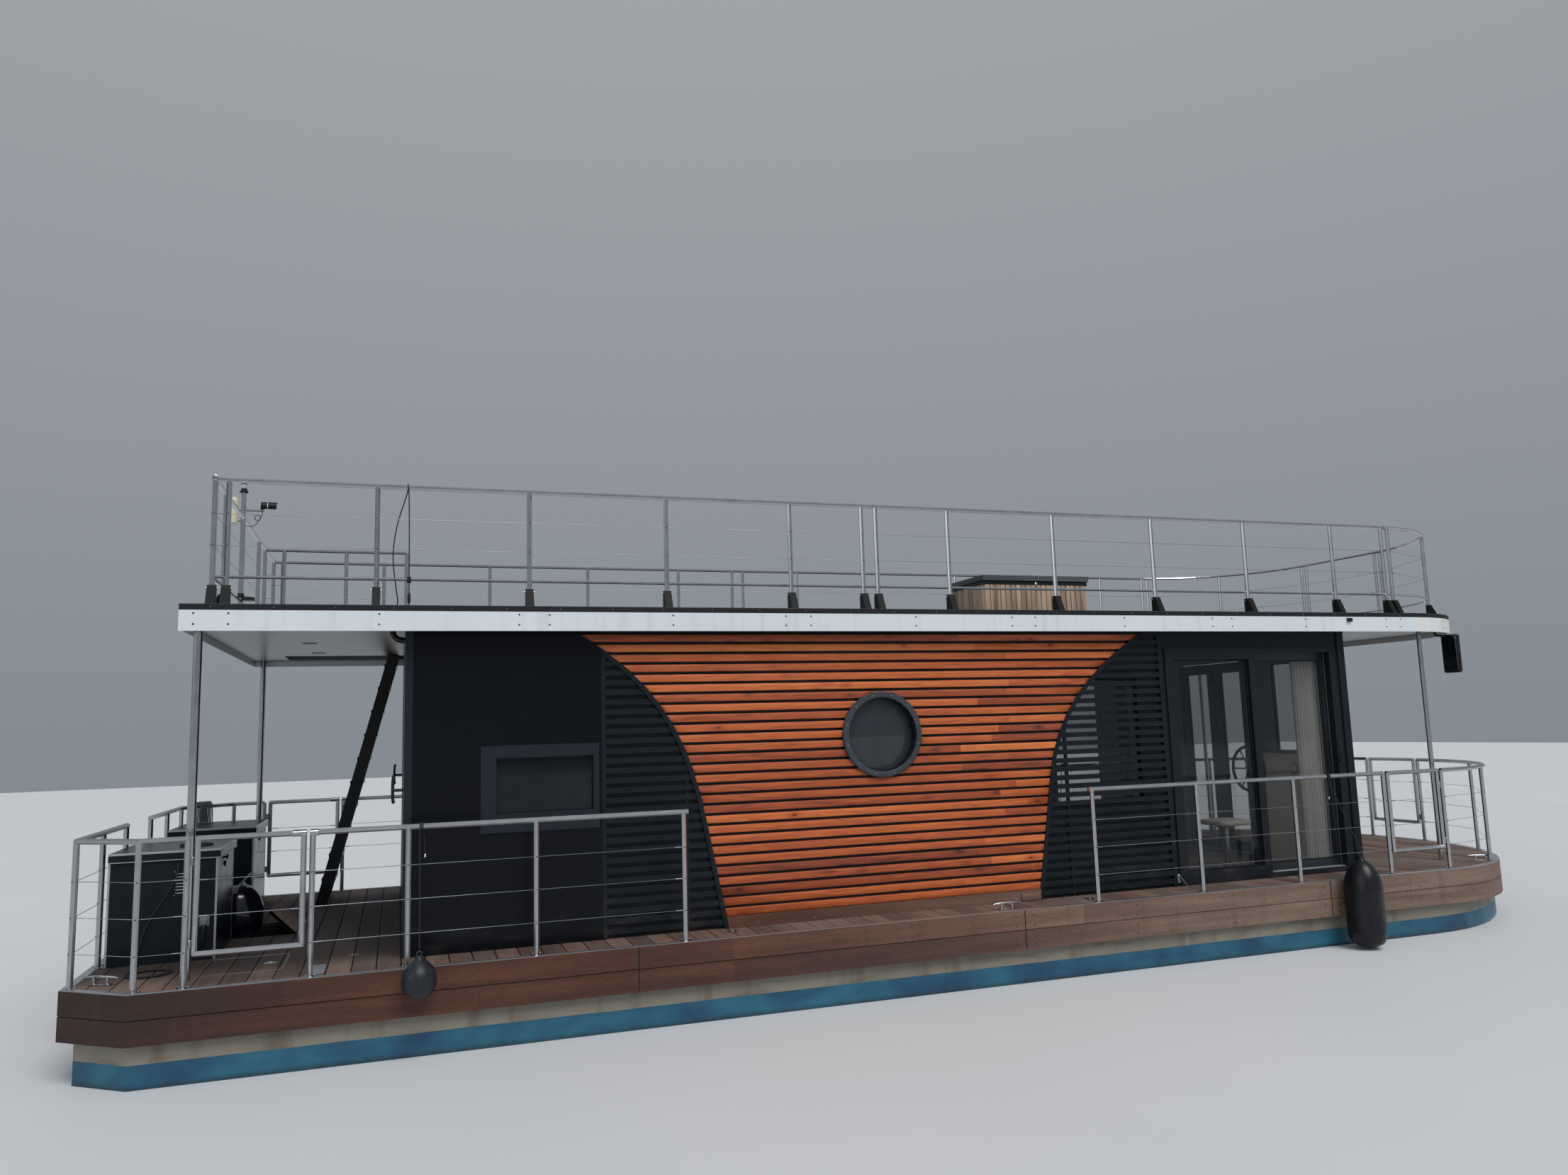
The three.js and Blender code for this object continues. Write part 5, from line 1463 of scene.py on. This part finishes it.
def wallThings():
    for side, sign in bothSides:
        path = [(4.275, sign * out, z) for out, z in wallFit["jambHandle"]]
        piece("jambHandle_" + side, bentBar, "blackPaint", "hull", 60, path, 0.0085)
        piece("leafHandle_" + side, sideBlock, "rubberBlack", "sliding_door_" + side, 35,
              sign, (4.238, 4.272), (1.8702, 1.8735), (2.285, 2.455), 0.0012)

        def track(work):
            sideBlock(work, sign, wallFit["track"], (1.878, 1.955), (1.1803, 1.1835), 0.0008)
            for y in wallFit["rails"]:
                sideBlock(work, sign, wallFit["track"], (y - 0.002, y + 0.002), (1.1835, 1.189), 0.0005)
        piece("doorTrack_" + side, track, "aluminium")

        def stay(work):
            sideBlock(work, sign, (2.122, 2.152), (1.9795, 1.984), (1.165, 1.25), 0.0012)
            tube(work, [(2.137, sign * 1.986, 1.235), (2.16, sign * 2.0, 1.2), (2.2, sign * 2.012, 1.143)], 0.006, 10)
            outward(work)
        piece("doorStay_" + side, stay, "brushedSteel", "hull", 40)

        def hook(work):
            y = sign * wallFit["hookOut"]
            tube(work, [(x, y, 2.384) for x in (-4.988, -5.03, -5.062)], 0.012, 12)
            bentBar(work, [(x, y, z) for x, z in wallFit["hook"]], 0.0125)
        piece("wallHook_" + side, hook, "blackPaint", "hull", 50)
        out = (0, sign, 0)
        heads = [((x, sign * 1.9785, 1.25 + 0.33 * i), out) for x in wallFit["strips"] for i in range(8)]
        studsAt("stripHeads_" + side, heads, "darkScrew", "hull", 0.005, 0.003, 8)
        heads = [((x, sign * 1.9968, 1.158), out) for x in wallFit["plinth"]]
        studsAt("plinthHeads_" + side, heads, "screwSteel", "hull", 0.0055, 0.002, 8)

        def sash(work):
            for x0, x1, z0, z1 in wallFit["sash"]:
                sideBlock(work, sign, (x0, x1), (1.9505, 1.966), (z0, z1), 0.003)
        piece("windowSash_" + side, sash, "frameGrey", "hull", 40)

        def catch(work):
            path = [(-4.336, sign * out, z) for out, z in wallFit["catch"]]
            tube(work, path, [0.006, 0.008, 0.008, 0.007], 10)
            outward(work)
        piece("windowHandle_" + side, catch, "blackPaint", "hull", 50)
    path = smoothLine([(x, wallFit["pipeOut"], z) for x, z in wallFit["pipe"]], 3)
    piece("elbowPipe", tube, "blackPaint", "hull", 60, path, 0.024, 16)

    def lights(work, profile):
        for y in wallFit["lights"]:
            spin(work, profile, (-5.8, y, 0), "Z", 32)
    piece("soffitLightRims", lights, "blackPaint", "hull", 40, [(0.052, 3.6545), (0.066, 3.6535), (0.064, 3.6505)])
    piece("soffitLightLenses", lights, "lensGlass", "hull", 40, [(0, 3.6515), (0.052, 3.6525)])
    for side, sign in bothSides:
        path = [(x, sign * 0.058, z) for x, z in wallFit["bowHandle"]]
        piece("bowHandle_" + side, bentBar, "blackPaint", "bow_door_" + side, 50, path, 0.008)

    def aftLever(work):
        block(work, (-4.986, 0.345, 2.13), (-4.979, 0.385, 2.33), 0.002)
        path = ((-4.984, 0.365), (-5.02, 0.365), (-5.028, 0.35), (-5.028, 0.27))
        tube(work, [(x, y, 2.28) for x, y in path], 0.008, 12)
        outward(work)
    piece("aftLever", aftLever, "brushedSteel", "aft_door", 50)
    piece("fasciaBox", block, "blackPaint", "hull", 40, (4.352, -2.186, 3.70), (4.41, -2.1612, 3.738), 0.004, 2)


wallThings()
print("doors and walls")


# Stern lockers: louvred vent, power inlet, star knobs, and aluminium trim that rides with each lid
lockers = {
    "starboard": {"sides": (-1.279, -0.41), "knob": -0.917}, "port": {"sides": (1.021, 2.02), "knob": 1.448},
}
lockerFit = {"aft": -7.1, "fore": -6.35, "low": 1.1305, "lidLow": 1.9, "lidTop": 1.97, "over": 0.02, "trim": 0.014,
             "proud": 0.0015, "knobZ": 1.868, "knobOut": 0.024,
             "vent": (-6.655, -6.49, 1.62, 1.82), "louvres": 7, "inlet": (-6.455, -6.41, 1.393, 1.447)}


def cornerTrims(work, item):
    trim, proud = lockerFit["trim"], lockerFit["proud"]
    low, high = lockerFit["low"], lockerFit["lidLow"] - 0.003
    fore, aft = lockerFit["fore"], lockerFit["aft"]
    for y, out in zip(item["sides"], (-1, 1)):
        for x, way in ((fore, 1), (aft, -1)):
            a, b = sorted((x - way * trim, x + way * proud))
            c, d = sorted((y, y + out * proud))
            block(work, (a, c, low), (b, d, high), 0.0005)
            a, b = sorted((x, x + way * proud))
            c, d = sorted((y - out * trim, y))
            block(work, (a, c, low), (b, d, high), 0.0005)


def lidTrims(work, item):
    over, trim, proud, foot, top = (lockerFit[key] for key in ("over", "trim", "proud", "lidLow", "lidTop"))
    low, high = item["sides"][0] - over, item["sides"][1] + over
    aft, fore = lockerFit["aft"], lockerFit["fore"] + over
    for z0, z1 in ((foot, foot + 0.006), (top - trim, top)):
        block(work, (aft, low - proud, z0), (fore + proud, low, z1), 0.0005)
        block(work, (aft, high, z0), (fore + proud, high + proud, z1), 0.0005)
        block(work, (fore, low, z0), (fore + proud, high, z1), 0.0005)
    block(work, (aft, low - proud, top), (fore + proud, low + trim, top + proud), 0.0005)
    block(work, (aft, high - trim, top), (fore + proud, high + proud, top + proud), 0.0005)
    block(work, (fore - trim, low + trim, top), (fore + proud, high - trim, top + proud), 0.0005)


def starKnob(work, y):
    z, x = lockerFit["knobZ"], lockerFit["fore"]
    spin(work, [(0.009, 0), (0.009, 0.014)], (x, y, z), "X", 12)
    outline = []
    for t in (2 * math.pi * k / 60 for k in range(60)):
        r = lockerFit["knobOut"] * (0.68 + 0.32 * math.cos(5 * t))
        outline.append((r * math.sin(t), r * math.cos(t)))
    skin(work, [[work.verts.new((x + depth, y + py * grow, z + pz * grow)) for py, pz in outline]
                for depth, grow in ((0.012, 0.82), (0.015, 1), (0.021, 1), (0.025, 0.8))])
    block(work, (x, y - 0.016, z - 0.075), (x + 0.004, y + 0.016, z - 0.03), 0.0012)
    block(work, (x + 0.004, y - 0.011, z - 0.066), (x + 0.011, y + 0.011, z - 0.03), 0.002)
    outward(work)


def slatRow(name, coat, count, start, step, size):
    made = eased(rows.grow(blank(name), coat, Count=count, Start=start, Step=step, Size=size), 0.003)
    shadeBySteepness(made.data, 60)
    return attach(made, "hull")


def lockerThings():
    for side, item in lockers.items():
        piece("lockerTrims_" + side, cornerTrims, "aluminium", "hull", 35, item)
        piece("lidTrims_" + side, lidTrims, "aluminium", "locker_lid_" + side, 35, item)
        piece("starKnob_" + side, starKnob, "blackPaint", "hull", 40, item["knob"])
    x0, x1, z0, z1 = lockerFit["vent"]
    face = lockers["starboard"]["sides"][0]
    piece("ventPlate", block, "lockerPaint", "hull", 35, (x0, face - 0.003, z0), (x1, face, z1), 0.001)
    step = (z1 - z0 - 0.03) / lockerFit["louvres"]
    slatRow("ventLouvres", "aluminium", lockerFit["louvres"],
            ((x0 + x1) / 2, face - 0.0075, z0 + 0.015 + step / 2), (0, 0, step), (x1 - x0 - 0.03, 0.009, 0.0085))
    corners = [((x, face - 0.004, z), (0, -1, 0)) for x in (x0 + 0.008, x1 - 0.008) for z in (z0 + 0.01, z1 - 0.01)]
    studsAt("ventBolts", corners, "screwSteel", "hull", 0.006, 0.003, 8)
    x0, x1, z0, z1 = lockerFit["inlet"]

    def inlet(work):
        block(work, (x0 - 0.012, face - 0.004, z0 - 0.012), (x1 + 0.012, face, z1 + 0.012), 0.002, 2)
        block(work, (x0, face - 0.034, z0), (x1, face - 0.004, z1), 0.008, 3)
    piece("powerInlet", inlet, "greyPlastic", "hull", 40)
    piece("inletPlug", spin, "blackPaint", "hull", 35, [
        (0.006, -0.155), (0.011, -0.14), (0.014, -0.11), (0.0145, -0.04), (0.0175, -0.036), (0.0175, -0.008),
        (0.013, 0)], ((x0 + x1) / 2, face - 0.02, z0), "Z", 20)


lockerThings()

# Outboard motor: hood lofted through rings, leg, splash plate, pod and skeg, all drawn upright and then tilted
motorShape = {"axis": (-6.5, 0, 1.0), "tilt": 63, "round": 2.5, "steps": 48, "rings": (
    (0.06, -0.385, 0.005, 0.132), (0.063, -0.395, 0.016, 0.146), (0.068, -0.398, 0.020, 0.151),
    (0.094, -0.402, 0.022, 0.156), (0.0945, -0.398, 0.018, 0.152), (0.0985, -0.398, 0.018, 0.152),
    (0.099, -0.404, 0.024, 0.158), (0.15, -0.412, 0.042, 0.164), (0.22, -0.422, 0.052, 0.167),
    (0.29, -0.428, 0.048, 0.166), (0.345, -0.424, 0.030, 0.158), (0.39, -0.408, -0.004, 0.142),
    (0.425, -0.384, -0.045, 0.118), (0.452, -0.352, -0.092, 0.088), (0.47, -0.312, -0.140, 0.056),
    (0.479, -0.270, -0.185, 0.028)), "top": (-0.228, 0, 0.482)}


def motorPlace():
    return Matrix.Translation(motorShape["axis"]) @ Matrix.Rotation(math.radians(motorShape["tilt"]), 4, "Y")


def hoodMesh(work):
    steps, power = motorShape["steps"], 2 / motorShape["round"]
    rings = []
    for z, x0, x1, half in motorShape["rings"]:
        ring = []
        for c, s in circle(steps):
            ring.append(work.verts.new(((x0 + x1) / 2 + (x1 - x0) / 2 * math.copysign(abs(c) ** power, c),
                                        half * math.copysign(abs(s) ** power, s), z)))
        rings.append(ring)
    skin(work, rings + [[work.verts.new(motorShape["top"])]])
    bmesh.ops.transform(work, matrix=motorPlace(), verts=work.verts)
    outward(work)


def prism(work, outline, half, bevel):  # a plate in side view, with its edges eased
    made = [[work.verts.new((x / 1000, y, z / 1000)) for x, z in outline] for y in (-half, half)]
    faces = [work.faces.new(made[0]), work.faces.new(reversed(made[1]))]
    count = len(outline)
    faces += [work.faces.new((made[0][i], made[1][i], made[1][(i + 1) % count], made[0][(i + 1) % count]))
              for i in range(count)]
    edges = list({e for f in faces for e in f.edges})
    bmesh.ops.recalc_face_normals(work, faces=faces)
    bmesh.ops.bevel(work, geom=edges, offset=bevel, segments=2, affect="EDGES", profile=0.5)


def legMesh(work):
    block(work, (-0.36, -0.07, -0.33), (-0.165, 0.07, 0.062), 0.03, 4)
    block(work, (-0.42, -0.09, -0.47), (-0.19, 0.09, -0.455), 0.006, 2)
    prism(work, [(-351, -600), (-232, -600), (-200, -310), (-360, -310)], 0.022, 0.012)
    prism(work, [(-330, -760), (-270, -760), (-210, -600), (-360, -600)], 0.008, 0.004)
    spin(work, [(0.040, -0.41), (0.047, -0.39), (0.048, -0.33), (0.046, -0.26), (0.036, -0.21), (0.02, -0.185),
                (0, -0.18)], (0, 0, -0.6), "X", 28)
    for z0, z1 in ((0.062, 0.095), (-0.345, -0.312)):
        block(work, (-0.22, -0.04, z0), (-0.085, 0.04, z1), 0.008, 2)
    bmesh.ops.transform(work, matrix=motorPlace(), verts=work.verts)


def hoodLatch(work):
    way = (Vector((-6.255, 0, 1.628)) - Vector((-6.351, 0, 1.528))).normalized()
    turn = Matrix((way, (0, 1, 0), way.cross(Vector((0, 1, 0))))).transposed().to_4x4()
    block(work, (-0.068, -0.018, -0.006), (0.068, 0.018, 0.006), 0.004, 2)
    block(work, (-0.05, -0.012, -0.036), (-0.02, 0.012, -0.006), 0.004, 2)
    bmesh.ops.transform(work, matrix=Matrix.Translation((-6.303, 0, 1.578)) @ turn, verts=work.verts)


def motorThings():
    made = piece("motorHood", hoodMesh, "motorPaint", "motor", 32)
    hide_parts("motor")
    piece("motorLeg", legMesh, "motorPaint", "motor", 40)
    piece("hoodLatch", hoodLatch, "aluminium", "motor", 40)


motorThings()
print("lockers and motor")

# Roof box: upright slats on every side, the dark band above them and the ribs of the lid's edge
roofBox = {"x": (1.09, 2.41), "half": 0.37, "low": 3.8005, "slatTop": 4.285, "bandTop": 4.3245, "pitch": 0.065,
           "first": 1.093, "wide": 0.056, "proud": 0.011, "lidOver": 0.025, "ribs": 5, "ribFirst": 4.3375,
           "ribPitch": 0.0112}


def roofBoxThings():
    (x0, x1), half, pitch = roofBox["x"], roofBox["half"], roofBox["pitch"]
    low, top, wide, proud = roofBox["low"], roofBox["slatTop"], roofBox["wide"], roofBox["proud"]
    middle, tall = (low + top) / 2, top - low
    sides = [(side, 20, (roofBox["first"] + pitch / 2, sign * (half + proud / 2), middle), (pitch, 0, 0),
              (wide, proud, tall)) for side, sign in bothSides]
    sides += [(end, 11, (x + sign * proud / 2, -5 * pitch, middle), (0, pitch, 0), (proud, wide, tall))
              for end, x, sign in (("aft", x0, -1), ("fore", x1, 1))]
    for side, *sizes in sides:
        slatRow("boxSlats_" + side, "slatWood", *sizes)

    def band(work):
        for y0, y1 in ((-half - proud, -half), (half, half + proud)):
            block(work, (x0 - proud, y0, top), (x1 + proud, y1, roofBox["bandTop"]), 0.001)
        for a, b in ((x0 - proud, x0), (x1, x1 + proud)):
            block(work, (a, -half, top), (b, half, roofBox["bandTop"]), 0.001)
    piece("boxBand", band, "blackPaint")

    def ribs(work):
        out, wide = roofBox["lidOver"], half + roofBox["lidOver"]
        corners = [(x0 - out, -wide), (x1 + out, -wide), (x1 + out, wide), (x0 - out, wide)]
        for k in range(roofBox["ribs"]):
            tube(work, [(*p, roofBox["ribFirst"] + roofBox["ribPitch"] * k) for p in corners], 0.0026, 6, True)
    piece("lidRibs", ribs, "greyPlastic", "roof_box_lid", 60)

    def hasp(work):
        y = -half - proud
        block(work, (1.735, y - 0.004, 4.245), (1.765, y, 4.315), 0.001)
        tube(work, [(1.742, y - 0.004, 4.268), (1.742, y - 0.016, 4.26), (1.75, y - 0.02, 4.256),
                    (1.758, y - 0.016, 4.26), (1.758, y - 0.004, 4.268)], 0.0028, 8)
    piece("boxHasp", hasp, "brushedSteel", "hull", 50)


roofBoxThings()

# Mirror: rounded housing, its glass facing aft, and the bent arm
mirror = {"low": (6.097, -1.985, 3.16), "high": (6.153, -1.775, 3.59), "arm": (
    (6.04, -1.76, 3.6545), (6.04, -1.76, 3.64), (6.04, -1.762, 3.612), (6.046, -1.770, 3.594),
    (6.062, -1.793, 3.583), (6.085, -1.825, 3.573), (6.106, -1.857, 3.563), (6.119, -1.874, 3.55),
    (6.125, -1.88, 3.52), (6.125, -1.88, 3.48))}


def mirrorThings():
    low, high = mirror["low"], mirror["high"]
    made = piece("mirrorHousing", block, "blackPaint", "hull", 60, low, high, 0.024, 5)
    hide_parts("mirror")
    piece("mirrorGlass", block, "mirrorGlass", "hull", 40, (low[0] - 0.0012, low[1] + 0.02, low[2] + 0.022),
          (low[0] + 0.002, high[1] - 0.02, high[2] - 0.022), 0.001)
    piece("mirrorArm", tube, "blackPaint", "hull", 60, smoothLine(mirror["arm"], 2), 0.0115, 14)
    piece("mirrorFoot", spin, "blackPaint", "hull", 40, [(0.024, -0.006), (0.026, -0.004), (0.026, 0)],
          (6.04, -1.76, 3.6547), "Z", 20)


mirrorThings()

# Small things on the rails, the flap and the plinth
bits = {"sleeve": 0.0232, "sleeveZ": 2.13, "flapTurn": 45, "caps": (-6.354, 2.0795, 4.756)}


def flapLines(work):
    block(work, (-0.152, -0.3735, -0.0005), (-0.148, 0.3735, 0.0008))
    for y in (-0.374, 0.370):
        block(work, (-0.3, y, -0.024), (0, y + 0.004, 0.0012), 0.0005)
    turn = Matrix.Rotation(math.radians(bits["flapTurn"]), 4, "Y")
    bmesh.ops.transform(work, matrix=Matrix.Translation((-5.84, 0, 1.13)) @ turn, verts=work.verts)


def smallThings():
    piece("flapLines", flapLines, "rubberBlack", "well_flap")
    piece("flapEdge", block, "aluminium", "hull", 40, (-5.836, -0.372, 1.1302), (-5.815, 0.372, 1.1318), 0.0005)
    z, r = bits["sleeveZ"], bits["sleeve"]
    for side, sign in bothSides:
        for name, body, x, long in (("gateSleeve_", "gate_aft_" + side, -5.735, 0.095),
                                    ("railSleeve_", "hull", -5.62, 0.058)):
            piece(name + side, spin, "brushedSteel", body, 40,
                  [(0.0214, 0), (r, 0.002), (r, long - 0.002), (0.0214, long)], (x, sign * 2.329, z), "X", 28)

        def bolts(work):
            for x in sidePosts:
                tube(work, [(x - 0.043, sign * 2.058, 3.925), (x + 0.043, sign * 2.058, 3.925)], 0.0035, 8)
                for end in (-1, 1):
                    spin(work, [(0.0075, -0.003), (0.0075, 0.003)], (x + end * 0.036, sign * 2.058, 3.925), "X", 8)
        piece("bracketBolts_" + side, bolts, "screwSteel", "hull", 40)
        x, y, end = bits["caps"]
        dome = [(0.0235, 0), (0.0235, 0.003), (0.02, 0.0045), (0, 0.005)]
        piece("railCap_" + side, spin, "brushedSteel", "hull", 40, [(wide, sign * out) for wide, out in dome][::sign],
              (x, sign * y, end), "Y", 24)
        piece("plinthStep_" + side, sideBlock, "edgeComposite", "hull", 40,
              sign, (0.373, 0.574), (1.996, 2.01), (1.1335, 1.199), 0.003, 2)


smallThings()
print("roof box, mirror and small things")


# Floor, light and backdrop; a lamp has its place, its aim, its strength and its angle
lamps = {"key": ((3, -13, 19), (0, 0, 2), 1.9, 0.6), "fill": ((-14, -10, 9), (1, 0, 2), 0.3, 0.6)}
skyStrength = 0.52


def stageSet():
    reach, water = stage["reach"], stage["water"]
    mesh = bpy.data.meshes.new("floor")
    mesh.from_pydata([(-reach, -reach, water), (reach, -reach, water), (reach, reach, water),
                      (-reach, reach, water)], [], [(0, 1, 2, 3)])
    made = finish("paleFloor", Roughness=0.6)
    made.dress(Base_Color=made.mix(made.noise(0.4, 2), tint(206, 208, 210), tint(214, 215, 216)))
    floor = addMesh("floor", mesh, "paleFloor")
    world = bpy.data.worlds.new("studio")
    bpy.context.scene.world = world
    world.use_nodes = True
    net = Net(world.node_tree)
    way = net.node("ShaderNodeTexCoord", out="Generated")
    height = net.node("ShaderNodeSeparateXYZ", None, {0: way}, 2)
    sky = net.node("ShaderNodeValToRGB", {"stops": [(0.0, tint(120, 126, 132)), (0.5, tint(178, 187, 196)),
                                                    (1.0, tint(236, 240, 245))]}, {0: height * 0.5 + 0.5})
    back = world.node_tree.nodes["Background"]
    world.node_tree.links.new(sky.socket, back.inputs["Color"])
    back.inputs["Strength"].default_value = skyStrength
    for name, (spot, aim, energy, size) in lamps.items():
        lamp = bpy.data.lights.new(name, "SUN")
        lamp.energy, lamp.angle = energy, size
        made = bpy.data.objects.new(name, lamp)
        made.location = spot
        made.rotation_euler = (Vector(aim) - Vector(spot)).to_track_quat("-Z", "Y").to_euler()
        bpy.context.scene.collection.objects.link(made)
    bpy.context.scene.view_settings.view_transform = "Standard"


stageSet()
print("stage")
